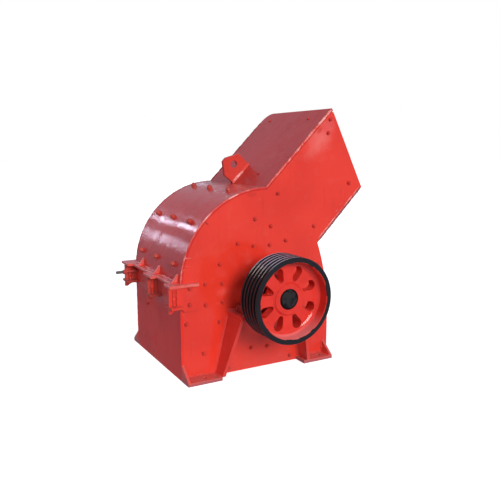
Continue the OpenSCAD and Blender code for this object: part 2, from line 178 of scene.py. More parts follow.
# %% Sky
DIM_BEHIND, LOW_IN_FRONT, OVERHEAD = 0.26, 0.46, 0.53
world = bpy.data.worlds.new("grey_sky")
bpy.context.scene.world = world
world.use_nodes = True
sky = world.node_tree
sky.nodes.clear()
direction = add(sky, "TexCoord", output="Generated")
upward = add(sky, "SeparateXYZ", (direction,), "Z")
backward = add(sky, "SeparateXYZ", (direction,), "Y")
# Map Range takes a value, the range it comes from and the range it goes to, in this order.
height_share = add(sky, "MapRange", (upward, -0.25, 0.15))
front_share = add(sky, "MapRange", (backward, 0.3, -0.6))
low_level = add(sky, "MapRange", (front_share, 0.0, 1.0, DIM_BEHIND, LOW_IN_FRONT))
level = add(sky, "MapRange", (height_share, 0.0, 1.0, low_level, OVERHEAD))
dome = add(sky, "Background", ("#E8EAFF", level))
backdrop = add(sky, "Background", ("#FFFFFF", 1.0))
seen_by_camera = add(sky, "LightPath", output="Is Camera Ray")
add(sky, "OutputWorld", {"Surface": add(sky, "MixShader", (seen_by_camera, dome, backdrop))})
print("sky nodes", len(sky.nodes))

# %% [markdown]
# ## Sun and lamps
#
# The main light is one large soft sun. It stands behind the camera and a little above, so that the drive
# side is bright and the back wall, which it only grazes, is in shade.
#
# The glossy paint of the round cover needs something bright to mirror as well. Bands could be painted on,
# but they would stay in place when the view changes. So five lamps hang far behind the machine, and the
# cover shows them as pale bands, as a polished car shows the lamps of a hall. Each lamp leans a little, so
# that its band runs straight across the cover.

# %% Lamps
SUN_TRAVELS = Vector((0.06, 0.93, -0.36))
sun_data = bpy.data.lights.new("soft_sun", "SUN")
sun_data.energy = 2.35
sun_data.angle = math.radians(24)
sun_data.color = linear("#FFFAF4")[:3]
sun = bpy.data.objects.new("soft_sun", sun_data)
sun.rotation_euler = SUN_TRAVELS.to_track_quat("-Z", "Y").to_euler()
bpy.context.scene.collection.objects.link(sun)

HANG_ROUND = Vector((-0.30, 0.0, 0.70))
LAMP_DISTANCE = 6.0
# name, degrees left of the way back, degrees up, length, width, strength in watts, degrees of lean
LAMPS = (
    ("high_band", 14.0, 18.6, 0.75, 0.26, 8.5, 49),
    ("low_band", 18.5, 8.2, 0.42, 0.70, 7.0, -27),
    ("near_low_band", 23.0, 7.6, 0.30, 0.30, 0.6, -10),
    ("streak_glow", 12.8, 25.0, 0.30, 0.42, 1.5, 49),
    ("crown_band", -22.6, 11.7, 0.30, 0.16, 0.35, 49),
)
for name, left, up, length, width, watts, lean in LAMPS:
    a, e = math.radians(left), math.radians(up)
    way = Vector((-math.sin(a) * math.cos(e), math.cos(a) * math.cos(e), math.sin(e)))
    data = bpy.data.lights.new(name, "AREA")
    data.shape = "RECTANGLE"
    data.size, data.size_y = length, width
    data.energy = watts
    data.color = linear("#E0E4FF")[:3]
    lamp = bpy.data.objects.new(name, data)
    lamp.location = HANG_ROUND + LAMP_DISTANCE * way
    # The rows of the turn are the lamp's own X, Y and Z: X along its long side, -Z towards the machine.
    across = Vector((-math.cos(a), -math.sin(a), 0.0))
    upright = across.cross(-way) if across.cross(-way).z > 0 else way.cross(across)
    long_way = math.cos(math.radians(lean)) * across + math.sin(math.radians(lean)) * upright
    lamp.rotation_euler = Matrix((long_way, way.cross(long_way), way)).transposed().to_euler()
    lamp.visible_camera = False
    bpy.context.scene.collection.objects.link(lamp)

# %% [markdown]
# ## Sprayed red enamel over rolled plate
#
# The whole box is sprayed with one coat of alkyd enamel, a glossy red machine paint. Seen close, such paint
# is never one red: thick places are deeper, thin places are paler, stone dust lies on what faces up, and
# hands and slings leave brown smudges. Its shine shows that the plate below is not flat either, since
# welding pulls it into shallow waves about 12 cm apart, and the spray leaves a fine orange peel.
#
# The material could be one noise mixed into one colour. Here each of these causes gets its own noise at its
# own size in millimetres, because the eye knows them apart, and its colour is laid over the ones before it,
# as on the real machine. The gloss is a clear coat over a rougher base.

# %% How a material starts and ends
def new_material(name):
    """An empty material, its node tree, and the Object coordinates of the piece that wears it."""
    made = bpy.data.materials.new(name)
    made.use_nodes = True
    made.node_tree.nodes.clear()
    return made, made.node_tree, add(made.node_tree, "TexCoord", output="Object")


def finish(tree, surface, heights):
    """Ends a material with its shader and its output. heights are patterns, each with its height in
    millimetres; their bumps are stacked one on another, and a clear coat follows them too."""
    relief = {"Strength": 1.0}
    for pattern, height_mm in heights:
        relief.update({"Height": pattern, "Distance": height_mm / 1000.0})
        relief["Normal"] = add(tree, "Bump", relief)
    surface["Normal"] = relief["Normal"]
    if "Coat Weight" in surface:
        surface["Coat Normal"] = relief["Normal"]
    add(tree, "OutputMaterial", {"Surface": add(tree, "BsdfPrincipled", surface)})


print("materials so far:", [m.name for m in bpy.data.materials])

# %% Layers of paint
SMOOTH = {"interpolation_type": "SMOOTHSTEP"}


def over(tree, colour, layers):
    """Lays layers over a colour, one after another: colour * (1 - share) + layer * share. Each is a
    pattern, the two values between which it comes in softly, its greatest share, and its colour."""
    for pattern, start, end, most, layer in layers:
        share = add(tree, "MapRange", (pattern, start, end, 0.0, most), **SMOOTH)
        colour = add(tree, "Mix", {0: share, 6: colour, 7: layer}, 2, data_type="RGBA")
    return colour


def marked(tree, place, colour, fray, centre, half_sizes, lean, soft, most, mark):
    """Lays a mark over a colour. It is an ellipsoid: the distance from its centre, measured in its half
    sizes along axes that lean in X and Z by some degrees, less 1.2 times a noise that frays its edge."""
    axes = (place, centre, (0.0, math.radians(-lean), 0.0), half_sizes)
    local = add(tree, "Mapping", axes, vector_type="TEXTURE")
    distance = add(tree, "VectorMath", (local,), "Value", operation="LENGTH")
    frayed = add(tree, "Math", (fray, -1.2, distance), operation="MULTIPLY_ADD")
    return over(tree, colour, [(frayed, 0.5, 0.5 - soft, most, mark)])


print("layers come in by", SMOOTH["interpolation_type"].lower())

# %% Causes that mottle the enamel
def enamel_noise(tree, place, wave_across, runs_mm):
    """One noise for each cause, by name. Its scale is 1000 / its size in millimetres. A coordinate that
    is multiplied by less than 1 draws the pattern out that way."""
    # Rain and wash water draw dirt down in streaks, and a rolled plate's waves run along its rolls.
    down = add(tree, "Mapping", {"Vector": place, "Scale": (1.0, 1.0, 0.16)})
    rolled = add(tree, "Mapping", {"Vector": place, "Scale": (1.0, wave_across, 1.0)})
    # cause, coordinates, size in mm, octaves, their strength, how far it is warped
    causes = [
        ("clouds", place, 240, 3, 0.55, 0.0),
        ("thin", place, 60, 5, 0.60, 0.0),
        ("streaks", down, 26, 4, 0.60, 0.0),
        ("smudges", place, 110, 6, 0.70, 0.6),
        ("specks", place, 7, 2, 0.55, 0.0),
        ("peel", place, 9, 2, 0.55, 0.0),  # real orange peel is 3 mm wide, too fine to show from here
        ("waves", rolled, 120, 2, 0.45, 0.0),
    ]
    if runs_mm > 0:
        drawn_out = add(tree, "Mapping", {"Vector": place, "Scale": (0.5, 1.0, 0.5)})
        causes += [("runs", drawn_out, 17, 3, 0.60, 0.5), ("run_fields", place, 150, 2, 0.55, 0.0)]
    return {
        cause: add(
            tree,
            "TexNoise",
            {"Vector": at, "Scale": 1000 / mm, "Detail": octaves, "Roughness": rough, "Distortion": warp},
        )
        for cause, at, mm, octaves, rough, warp in causes
    }


SPLASH_HEIGHT = 0.11  # the lowest hand's breadth is splashed with dust from the floor
print("splashes reach", SPLASH_HEIGHT, "m up")

# %% Enamel
def enamel(
    name, red="#DE3625", deep="#C62519", pale="#E85A4C", gloss=0.14, coat=0.75, wave_mm=2.0, wave_across=1.0,
    runs_mm=0.0, grime=0.35, thin_share=0.30, thin_from=0.50, splashed=0.12, marks=(),
):
    """Red alkyd enamel: red, deep and pale are its colours where it is even, thick and thin, gloss is the
    coat's roughness, wave_mm how far the plate's waves rise, grime how much dust and smudge lies on it, and
    runs_mm the height of the paint's runs. Its surface is waves + orange peel + runs."""
    made, tree, place = new_material(name)
    noise = enamel_noise(tree, place, wave_across, runs_mm)
    colour = over(tree, red, [
        (noise["clouds"], 0.40, 0.70, 0.45, deep),
        (noise["thin"], thin_from, 2 * thin_from - 0.2, thin_share, pale),
        (noise["streaks"], 0.56, 0.80, 0.45 * grime, "#9A231B"),
        (noise["smudges"], 0.66, 0.78, grime, "#8A2A22"),
        (noise["specks"], 0.68, 0.76, 0.6 * grime, "#6A1712"),
    ])
    # Stone dust lies on what faces up, and floor dust on what is low. Both thin out in patches.
    facing = add(tree, "SeparateXYZ", (add(tree, "NewGeometry", output="Normal"),), "Z")
    height = add(tree, "SeparateXYZ", (place,), "Z")
    for reach, thinnest, dust in (
        ((facing, 0.75, 1.0, 0.0, 0.55), (0.70, 0.30), "#C4706A"),
        ((height, SPLASH_HEIGHT, 0.0, 0.0, splashed), (0.65, 0.35), "#B26C66"),
    ):
        level = add(tree, "MapRange", reach, **SMOOTH)
        patches = add(tree, "MapRange", (noise["thin"], 0.3, thinnest[0], thinnest[1], 1.0), **SMOOTH)
        share = add(tree, "Math", (level, patches), operation="MULTIPLY")
        colour = add(tree, "Mix", {0: share, 6: colour, 7: dust}, 2, data_type="RGBA")
    for mark in marks:
        colour = marked(tree, place, colour, noise["thin"], *mark)
    heights = [(noise["waves"], wave_mm), (noise["peel"], 0.10)]
    if runs_mm > 0:
        fields = add(tree, "MapRange", (noise["run_fields"], 0.40, 0.56, 0.3, 1.0), **SMOOTH)
        runs = add(tree, "Math", (noise["runs"], fields), operation="MULTIPLY")
        heights.append((runs, runs_mm))
    surface = {
        "Base Color": colour,
        "Roughness": add(tree, "MapRange", (noise["smudges"], 0.45, 0.75, 0.42, 0.65), **SMOOTH),
        "IOR": 1.5,
        "Specular IOR Level": 0.15,
        "Coat Weight": coat,
        "Coat Roughness": gloss,
        "Coat IOR": 1.5,
    }
    finish(tree, surface, heights)
    return made


print("an enamel's surface is waves, orange peel and runs")

# %% [markdown]
# ## One enamel for each kind of plate
#
# One material would do for the whole machine, but then thick plate and thin wall would shine alike. The
# same recipe is therefore mixed several times. Thick plate stays flatter than thin wall. The rolled cover
# is the glossiest and has runs across it. Feet, clamps and nuts are brushed, handled and dusty, and the
# paint is worn thin on the weld beads, whose pale crests are also a painted highlight. The mid and far
# clamps are darker still as painted shade. Single marks, such as overspray at the mouth, are laid on as
# soft ellipsoids, since a noise can't be told where to put a patch; the one on the end wall is painted light.

# %% Marks on the paint
# centre, half sizes, degrees of lean, softness, greatest share, colour
plate_marks = (
    # a paler field of overspray at the mouth, with two redder touches in it
    ((0.327, -0.3, 1.074), (0.130, 0.1, 0.075), 45.0, 1.2, 0.42, "#F09088"),
    ((0.372, -0.3, 1.140), (0.060, 0.1, 0.030), 60.0, 0.8, 0.30, "#D2505A"),
    ((0.326, -0.3, 1.120), (0.024, 0.1, 0.014), 45.0, 0.7, 0.50, "#B82218"),
    # a touched-up scorch below the hopper, and a scratch over the cover's seam
    ((-0.045, -0.3, 0.828), (0.026, 0.1, 0.013), 0.0, 0.3, 0.50, "#C42A1C"),
    ((-0.279, -0.3, 0.7145), (0.020, 0.1, 0.0035), -42.0, 0.4, 0.90, "#8E1C16"),
)
# A paler patch on the end wall just below the joint is painted light: it lifts the shade under the flange.
wall_painted_light_marks = (((-0.405, 0.0, 0.385), (0.05, 0.31, 0.085), 0.0, 0.7, 0.45, "#E07E76"),)
# Boots and brooms have rubbed floor dirt into the lowest edge of the feet, all the way round.
foot_marks = (((0.0, 0.0, 0.0), (2.0, 2.0, 0.013), 0.0, 0.5, 0.60, "#94545C"),)
print(len(plate_marks), "marks on the side plates")

# %% Enamels of the housing
# The side plates mirror the sky almost evenly; the thin end wall breaks it up, and the slope more so.
plate_enamel = enamel(
    "sprayed_alkyd_enamel_on_thick_plate", red="#E43826", deep="#CC2619", wave_mm=1.6, marks=plate_marks
)
wall_enamel = enamel(
    "sprayed_alkyd_enamel_on_thin_wall", red="#EE2E20", deep="#CE2218", gloss=0.2, coat=0.5, wave_mm=2.2,
    marks=wall_painted_light_marks,
)
slope_enamel = enamel(
    "sprayed_alkyd_enamel_on_the_slope", red="#C4241A", deep="#AA1B14", gloss=0.2, coat=0.68, wave_mm=2.8
)
# The rolled cover shows the lamps as sharp pale bands, ragged where they cross its runs.
cover_enamel = enamel(
    "sprayed_alkyd_enamel_on_rolled_cover", red="#D2261C", deep="#B81B15", gloss=0.10, wave_mm=2.2,
    wave_across=0.45, runs_mm=1.8,
)
print("enamels of the housing:", [m.name for m in (plate_enamel, wall_enamel, slope_enamel, cover_enamel)])

# %% Enamels of the small parts
# These look softer and browner: ribs and shelves least, then feet, nuts and clamps, where dust stays.
# The mid and far clamps' enamel is darker still, and that darkness is painted shade.
small_enamel = enamel("brushed_enamel_on_small_parts", red="#E03A2E", deep="#C02D23", gloss=0.2, grime=0.5)
foot_enamel = enamel(
    "dusty_enamel_on_feet", red="#E24C42", deep="#C43A31", pale="#DC827A", gloss=0.3, grime=0.5,
    splashed=0.35, marks=foot_marks,
)
nut_enamel = enamel(
    "brushed_enamel_on_nuts", red="#CC362B", deep="#AE2A22", gloss=0.4, coat=0.4, grime=0.4
)
# Hooks and hammers have scuffed the flange pale. On the crests of the beads the paint is worn thin, and their
# near-white paleness there is also a painted highlight.
flange_enamel = enamel(
    "scuffed_enamel_on_flange", red="#E25A50", deep="#C8443A", pale="#F4A8A0", gloss=0.3, thin_from=0.45
)
# Darker and duller than the plates as painted shade on the mid and far clamps; other small parts share it.
shade_darkened_clamp_enamel = enamel(
    "dusty_enamel_on_clamps_darkened_as_painted_shade", red="#BE453B", deep="#A0342C", pale="#D07A72", gloss=0.4, coat=0.5, grime=0.5
)
bead_enamel = enamel(
    "enamel_worn_thin_with_painted_highlight_on_weld_beads", red="#DC4436", deep="#C42C20", pale="#FFC0B6", gloss=0.25, grime=0.25,
    thin_share=0.95, thin_from=0.46,
)
print("enamels:", sum(m.name.count("enamel") for m in bpy.data.materials))

# %% Paint the housing
def wear(material, *names):
    """Gives a material to CAD pieces by name."""
    for name in names:
        for slot in nodes[name].material_slots:
            slot.material = material


small_names = [n for n in nodes if n.endswith(("_rib", "_shelf", "_seal"))]
foot_names = [n for n in nodes if n.endswith("_foot")]
wear(plate_enamel, "near_side_plate", "far_side_plate", "near_clamp")
wear(wall_enamel, "end_wall", "feed_end_wall", "hopper_floor_plate")
wear(slope_enamel, "hopper_top_plate")
wear(cover_enamel, "curved_cover")
wear(small_enamel, *small_names)
wear(foot_enamel, *foot_names)
wear(nut_enamel, "lifting_lug")
wear(shade_darkened_clamp_enamel, "mid_clamp", "far_clamp")
print("small parts:", small_names, "feet:", foot_names)

# %% [markdown]
# ## Pulley and flywheel paint
#
# Both wheels are grey iron castings. The rim and the belt grooves are glossy black, the web and the hub
# are red, and the red starts at the rim's inner edge. Each colour could have a mesh of its own, but the
# casting is one piece. The wheels are round, so the two paints part at a radius: the material measures each
# point's distance from the shaft's axis and changes colour there. The line wobbles by a millimetre or two,
# because it was cut in with a brush.

# %% Distance from the rotor's axis
pulley_low, pulley_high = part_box("drive_pulley")
AXIS_Z = (pulley_low.z + pulley_high.z) / 2
WHEEL_R = (pulley_high.z - pulley_low.z) / 2


def from_axis(tree, place):
    """Distance of a point from the rotor's axis: the length of (x, 0, z - axis height)."""
    flat = add(tree, "VectorMath", (place, (1.0, 0.0, 1.0)), operation="MULTIPLY")
    moved = add(tree, "VectorMath", (flat, (0.0, 0.0, AXIS_Z)), operation="SUBTRACT")
    return add(tree, "VectorMath", (moved,), "Value", operation="LENGTH")


print("wheel radius", round(WHEEL_R * 1000), "mm, axis", round(AXIS_Z * 1000), "mm above the floor")

# %% Where the black starts
RIM_INNER_R = WHEEL_R - 0.024
BRUSH_REACH = 0.003  # how far the black brush ran in over the rim's inner edge


def blackness(tree, place, radius, wobble, face):
    """Above 0 where the paint is black: the greater of the distance past the rim's inner radius, and of
    min(brush reach - depth behind the rim's outer face, distance inside that radius). face is how far the
    rim's outer face lies from the middle of the machine."""
    y = add(tree, "SeparateXYZ", (place,), "Y")
    from_middle = add(tree, "Math", (y,), operation="ABSOLUTE")
    behind_face = add(tree, "Math", (face, from_middle), operation="SUBTRACT")
    reach = add(tree, "MapRange", (wobble, 0.45, 0.65, 0.0, BRUSH_REACH), **SMOOTH)
    spilled = add(tree, "Math", (reach, behind_face), operation="SUBTRACT")
    near_rim = add(tree, "Math", (radius, RIM_INNER_R - 0.002), operation="SUBTRACT")
    spilled = add(tree, "Math", (spilled, near_rim), operation="MINIMUM")
    beyond = add(tree, "Math", (radius, RIM_INNER_R + 0.002), operation="SUBTRACT")
    return add(tree, "Math", (beyond, spilled), operation="MAXIMUM")


print("red inside", round(RIM_INNER_R * 1000), "mm")

# %% Wheel paint
HUB_DARK_R = 0.044  # oily bare iron round the bore


def wheel_paint(name, face):
    """Red inside, glossy black on the rim, and oily iron round the bore. Each is a colour laid over the
    one before. The surface is brushed waves + casting grain + the hollow where the web meets the rim."""
    made, tree, place = new_material(name)
    radius = from_axis(tree, place)
    # Clouds 90 mm, chips 12 mm and brush waves 45 mm across. The casting's sand grain is 1 to 2 mm, which
    # is too fine to show, so it is drawn 6 mm across.
    clouds, chips, wobble, cast = [
        add(tree, "TexNoise", {"Vector": place, "Scale": 1000 / mm, "Detail": octaves, "Roughness": rough})
        for mm, octaves, rough in ((90, 4, 0.55), (12, 4, 0.70), (45, 2, 0.55), (6, 3, 0.55))
    ]
    # What faces up is painted paler: a blue-grey on the black is a painted sky reflection, and a pale pink on
    # the red inside the rim is a painted sheen.
    facing = add(tree, "SeparateXYZ", (add(tree, "NewGeometry", output="Normal"),), "Z")
    black = over(tree, "#131619", [
        (clouds, 0.3, 0.7, 1.0, "#1B1D20"),
        (chips, 0.62, 0.76, 0.2, "#32272A"),
        # painted sky reflection on the black that faces up
        (facing, 0.70, 0.90, 1.0, "#BCC2D6"),
    ])
    red = over(tree, "#E0382C", [(clouds, 0.35, 0.7, 0.6, "#CA2B21"), (chips, 0.64, 0.74, 0.4, "#96281C")])
    # A pale pink where the red inside the rim faces up is a painted sheen.
    on_rim = add(tree, "MapRange", (radius, RIM_INNER_R - 0.020, RIM_INNER_R - 0.006), **SMOOTH)
    up = add(tree, "MapRange", (facing, 0.35, 1.0, 0.0, 0.6), **SMOOTH)
    painted_rim_sheen = add(tree, "Math", (on_rim, up), operation="MULTIPLY")
    red = add(tree, "Mix", {0: painted_rim_sheen, 6: red, 7: "#F0A8A6"}, 2, data_type="RGBA")
    colour = over(tree, red, [
        (blackness(tree, place, radius, wobble, face), 0.0, 0.0008, 1.0, black),
        (radius, HUB_DARK_R + 0.004, HUB_DARK_R + 0.001, 1.0, "#101012"),
    ])
    # The web runs into the rim in a soft hollow; its slope mirrors the sun as a thin bright line.
    hollow = add(tree, "MapRange", (radius, RIM_INNER_R - 0.027, RIM_INNER_R - 0.007), **SMOOTH)
    surface = {
        "Base Color": colour,
        "Roughness": add(tree, "MapRange", (chips, 0.4, 0.75, 0.36, 0.6), **SMOOTH),
        "IOR": 1.5,
        "Specular IOR Level": 0.05,
        "Coat Weight": 0.85,
        "Coat Roughness": 0.09,
        "Coat IOR": 1.40,
    }
    finish(tree, surface, [(wobble, 0.7), (cast, 0.10), (hollow, 7.0)])
    return made


wear(wheel_paint("black_and_red_enamel_on_the_cast_pulley", -pulley_low.y), "drive_pulley")
wear(wheel_paint("black_and_red_enamel_on_the_cast_flywheel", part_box("flywheel")[1].y), "flywheel")
print("bare iron inside", round(HUB_DARK_R * 1000), "mm")

# %% [markdown]
# ## Steel, bare and worn
#
# The shaft is turned steel with a thin film of oil. The rotor discs are cut plate, scoured by stone. The
# hammers, liners and grate are manganese steel castings, which polish where stone hits them and rust in
# the hollows. The bearing housings are cast iron under a thin coat of dark red. Threads are zinc plated.
#
# Each could have a recipe of its own. All but the housings are metals under dirt, though, so one function
# makes them: a metal colour, a second colour for rust or scale, a pattern that says where each one shows,
# and a grain. Rust doesn't mirror as metal does, so the pattern also takes the metal's shine away.

# %% Steel materials
TURNING_MARK = 0.003  # rings 0.3 mm apart on the lathe are too fine to show, so they are drawn 3 mm apart


def bare_steel(name, metal, scale, share, rough, grain_mm, relief_mm, rings=False):
    """metal is the clean colour, scale the rust or mill scale over it, share (0..1) how much of it
    shows, rough the two roughnesses, grain_mm the size of the grain. Rings are sin(2 pi radius / step)."""
    made, tree, place = new_material(name)
    # Patches of rust are nine grains across. The grain is drawn 2 to 6 mm across, a few times coarser than
    # on real steel, where it would be too fine to show.
    patches, grain = [
        add(tree, "TexNoise", {"Vector": place, "Scale": 1000 / mm, "Detail": octaves, "Roughness": strength})
        for mm, octaves, strength in ((grain_mm * 9, 5, 0.65), (grain_mm, 3, 0.55))
    ]
    # Noise seldom leaves 0.3 to 0.7, so the rust starts near the top of that at share 0, and at 1 below it.
    start, end = 0.72 - 0.45 * share, 0.86 - 0.45 * share
    rusty = add(tree, "MapRange", (patches, start, end), **SMOOTH)
    clean = add(tree, "Math", (1.0, rusty), operation="SUBTRACT")
    heights = [(patches, relief_mm * 2), (grain, relief_mm)]
    if rings:
        turns = add(tree, "Math", (from_axis(tree, place), 2 * math.pi / TURNING_MARK), operation="MULTIPLY")
        heights.append((add(tree, "Math", (turns,), operation="SINE"), 0.03))
    surface = {
        "Base Color": over(tree, metal, [(patches, start, end, 1.0, scale)]),
        "Metallic": add(tree, "Math", (clean, 0.85), operation="MULTIPLY"),
        "Roughness": add(tree, "MapRange", (rusty, 0.0, 1.0, *rough), **SMOOTH),
    }
    finish(tree, surface, heights)
    return made


# Oil turns the shaft almost black. Stone scours the rotor's plate to a dull silver with brown patches.
# Manganese castings are dark and matt in their hollows, and zinc keeps a thread pale grey and dull.
shaft_steel = bare_steel("oiled_turned_shaft_steel", "#18191C", "#070709", 0.85, (0.4, 0.6), 3, 0.03, True)
rotor_plate = bare_steel("scoured_rotor_plate_steel", "#8B8885", "#5A4438", 0.45, (0.35, 0.7), 5, 0.15)
manganese = bare_steel("worn_cast_manganese_steel", "#77726D", "#5D4032", 0.55, (0.4, 0.8), 6, 0.3)
zinc = bare_steel("dull_zinc_plated_steel", "#7C7A78", "#574C48", 0.6, (0.35, 0.6), 2, 0.03)
# The red oxide is so thin that it looks nearly brown over the iron.
cast_red = enamel(
    "thin_red_oxide_on_cast_iron", red="#8E2A25", deep="#5F1B19", pale="#A23A30", gloss=0.35, grime=0.8
)
wear(shaft_steel, "main_shaft")
wear(rotor_plate, "rotor_discs", "rotor_spacers", "hammer_pins")
wear(manganese, "hammers", "discharge_grate", "cover_liners", "near_side_liner", "far_side_liner")
wear(cast_red, "near_bearing_housing", "far_bearing_housing")
print("steels:", [m.name for m in (shaft_steel, rotor_plate, manganese, zinc)])

# %% [markdown]
# ## Landmarks
#
# Bolts and welds sit at places that follow from the plates: their edges, the round cover's centre, the
# slope of the hopper. These could be typed in one by one, but then they would drift from the plates. So
# they come from the corners of the CAD pieces' boxes. The cover is a quarter of a ring whose top lies
# straight above its centre. The hopper slopes at 45 degrees and starts at that top; a place on it is given
# by u up the slope and v square to it.

# %% Landmarks
plate_low, plate_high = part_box("near_side_plate")
wall_low, wall_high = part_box("end_wall")
cover_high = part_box("curved_cover")[1]
feed_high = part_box("feed_end_wall")[1]
Y_OUT = -plate_low.y  # outer faces of the side plates
Y_IN = -plate_high.y  # inner faces
JOINT_Z = wall_high.z  # the cover's flange lies on the end wall here
COVER_R = 0.434
LIP = 0.020  # how far the front wall and the hopper's underside are set in
SLOPE = math.radians(45)
LEAN = math.radians(18)  # how far the hopper's mouth leans over
CENTRE = np.array([cover_high.x, 0.0, cover_high.z - COVER_R])
TOP = np.array([cover_high.x, 0.0, cover_high.z])
CHUTE_LEN = (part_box("hopper_top_plate")[1].z - TOP[2]) / math.sin(SLOPE)
CHUTE_DEPTH = ((plate_high.x - TOP[0]) / math.cos(SLOPE) - CHUTE_LEN) / (1 - math.tan(LEAN))
UP_SLOPE = np.array([math.cos(SLOPE), 0.0, math.sin(SLOPE)])
OFF_SLOPE = np.array([-math.sin(SLOPE), 0.0, math.cos(SLOPE)])
ALONG_X, ALONG_Y, ALONG_Z = np.eye(3)


def on_slope(u, v, y):
    """The point u up the hopper's upper edge and v square to it, at y across the machine."""
    return TOP + np.multiply.outer(u, UP_SLOPE) + np.multiply.outer(v, OFF_SLOPE) + np.array([0.0, y, 0.0])


def on_round(radius, angle, y):
    """The point at a radius from the cover's centre, at an angle above the way back, at y across:
    centre + (-radius cos angle, y, radius sin angle)."""
    c, s = np.cos(angle), np.sin(angle)
    return CENTRE + np.stack([-radius * c, np.full_like(c, y), radius * s], axis=-1)


print("cover centre", CENTRE.round(3), "hopper", round(CHUTE_LEN, 3), "by", round(CHUTE_DEPTH, 3), "m")

# %% [markdown]
# ## Surfaces on a grid
#
# A grid of points has rows and columns; the faces join each point to its neighbours, and a closed
# direction wraps round to its first column. Two kinds cover almost everything here: a shape turned about
# an axis, whose radius may also change with the angle, as on a hexagon nut, and a profile carried along a
# path, as on a weld bead or a plate. A repeated piece is made once and copied to all its places in one
# step, where a loop that adds objects would be slow and would fill the scene with parts.

# %% Grids
def grid_surface(grid):
    """A closed surface from points in rows and columns, which wrap round: quads between neighbours, and
    one flat face at each end."""
    rows, columns = grid.shape[:2]
    i, j = np.meshgrid(np.arange(rows - 1), np.arange(columns), indexing="ij")
    k = (j + 1) % columns
    quads = np.stack([i * columns + j, i * columns + k, (i + 1) * columns + k, (i + 1) * columns + j], -1)
    ends = [np.arange(columns)[::-1], np.arange((rows - 1) * columns, rows * columns)]
    sizes = np.concatenate([np.full(quads.size // 4, 4), [columns, columns]])
    return grid.reshape(-1, 3), np.concatenate([quads.ravel(), *ends]), sizes


def turned(radius, height):
    """A surface about Z: (radius cos a, radius sin a, height). radius and height are arrays of rows by
    columns, and the angle a goes once round with the columns."""
    angle = 2 * np.pi * np.arange(radius.shape[1]) / radius.shape[1]
    return grid_surface(np.stack([radius * np.cos(angle), radius * np.sin(angle), height], axis=-1))


def profile(rows, columns=24):
    """A surface about Z from a list of (radius, height) pairs; a radius may be one number or a ring."""
    radius = np.stack([np.ones(columns) * r for r, _ in rows])
    return turned(radius, np.stack([np.full(columns, h) for _, h in rows]))


print("a plain tube of two rows has", len(profile([(1, 0), (1, 1)])[2]), "faces")

# %% Plates and bars
def along_y(outline, y0, y1):
    """A shape cut from plate: an outline of (x, z) points, given from the lower left to the lower right
    and round, carried straight from y0 to y1."""
    outline = np.asarray(outline, float)[::-1]
    grid = np.zeros((2, len(outline), 3))
    grid[..., 0], grid[..., 2] = outline[:, 0], outline[:, 1]
    grid[..., 1] = [[y0], [y1]]
    return grid_surface(grid)


def bar(low, high, bevel=0.001):
    """A straight bar along Y with its four long edges bevelled."""
    (x0, y0, z0), (x1, y1, z1) = low, high
    outline = [
        (x0 + bevel, z0), (x1 - bevel, z0), (x1, z0 + bevel), (x1, z1 - bevel),
        (x1 - bevel, z1), (x0 + bevel, z1), (x0, z1 - bevel), (x0, z0 + bevel),
    ]
    return along_y(outline, y0, y1)


print("a bar has", len(bar((0, 0, 0), (1, 1, 1))[2]), "faces")

# %% Copies, and pieces from several surfaces
def placed(template, at, up, spin=0.0):
    """Copies of a template, all at once: at holds the points, up the ways that its Z turns to, one for
    all or one for each, and spin the turns about it. A point p goes to at + p.x X + p.y Y + p.z Z."""
    points, loops, sizes = template
    at = np.atleast_2d(np.asarray(at, float))
    z = np.broadcast_to(np.asarray(up, float), at.shape)
    z = z / np.linalg.norm(z, axis=1, keepdims=True)
    x = np.cross(np.where(np.abs(z[:, 1:2]) < 0.9, ALONG_Y, ALONG_X), z)
    x /= np.linalg.norm(x, axis=1, keepdims=True)
    y = np.cross(z, x)
    turn = np.broadcast_to(np.asarray(spin, float), len(at))[:, None]
    axes = np.stack([np.cos(turn) * x + np.sin(turn) * y, -np.sin(turn) * x + np.cos(turn) * y, z], axis=1)
    moved = np.einsum("nk,pkm->pnm", points, axes) + at[:, None, :]
    starts = np.arange(len(at))[:, None] * len(points)
    return moved.reshape(-1, 3), (loops[None, :] + starts).ravel(), np.tile(sizes, len(at))


def joined(*surfaces):
    """Puts several surfaces together as one mesh."""
    starts = np.cumsum([0] + [len(points) for points, _, _ in surfaces[:-1]])
    return (
        np.concatenate([points for points, _, _ in surfaces]),
        np.concatenate([loops + start for (_, loops, _), start in zip(surfaces, starts)]),
        np.concatenate([sizes for _, _, sizes in surfaces]),
    )


def piece(name, surface, material, body="housing", sharp=32.0):
    """A finished piece: smooth except over edges sharper than an angle, riding on a body."""
    made = mesh_object(name, surface)
    made.data.polygons.foreach_set("use_smooth", np.ones(len(made.data.polygons), bool))
    made.data.set_sharp_from_angle(angle=math.radians(sharp))
    made.data.materials.append(material)
    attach(made, body)
    print(name, len(made.data.polygons), "faces")
    return made


print("two joined bars have", len(joined(bar((0, 0, 0), (1, 1, 1)), bar((2, 0, 0), (3, 1, 1)))[2]), "faces")

# %% [markdown]
# ## Nuts and bolts
#
# The liners inside are held by bolts whose nuts stand on the outside of the plates. A six-sided cylinder
# would do from afar, but a real nut has its corners cut off by the lathe, and that catches the light. A
# hexagon is a round shape whose radius changes with the angle: half the width across flats / cos(angle
# from the nearest flat's middle). Near the top and the bottom the radius is limited, which cuts the corners
# in a cone. A washer, the nut and the end of the bolt are rows of one such surface.

# %% Nut and bolt templates
def hexagon(across_flats, columns=24):
    """Radius of a hexagon for each column's angle: half its width / cos(angle off the nearest flat)."""
    angle = 2 * np.pi * np.arange(columns) / columns
    off_flat = (angle + np.pi / 6) % (np.pi / 3) - np.pi / 6
    return across_flats / 2 / np.cos(off_flat)


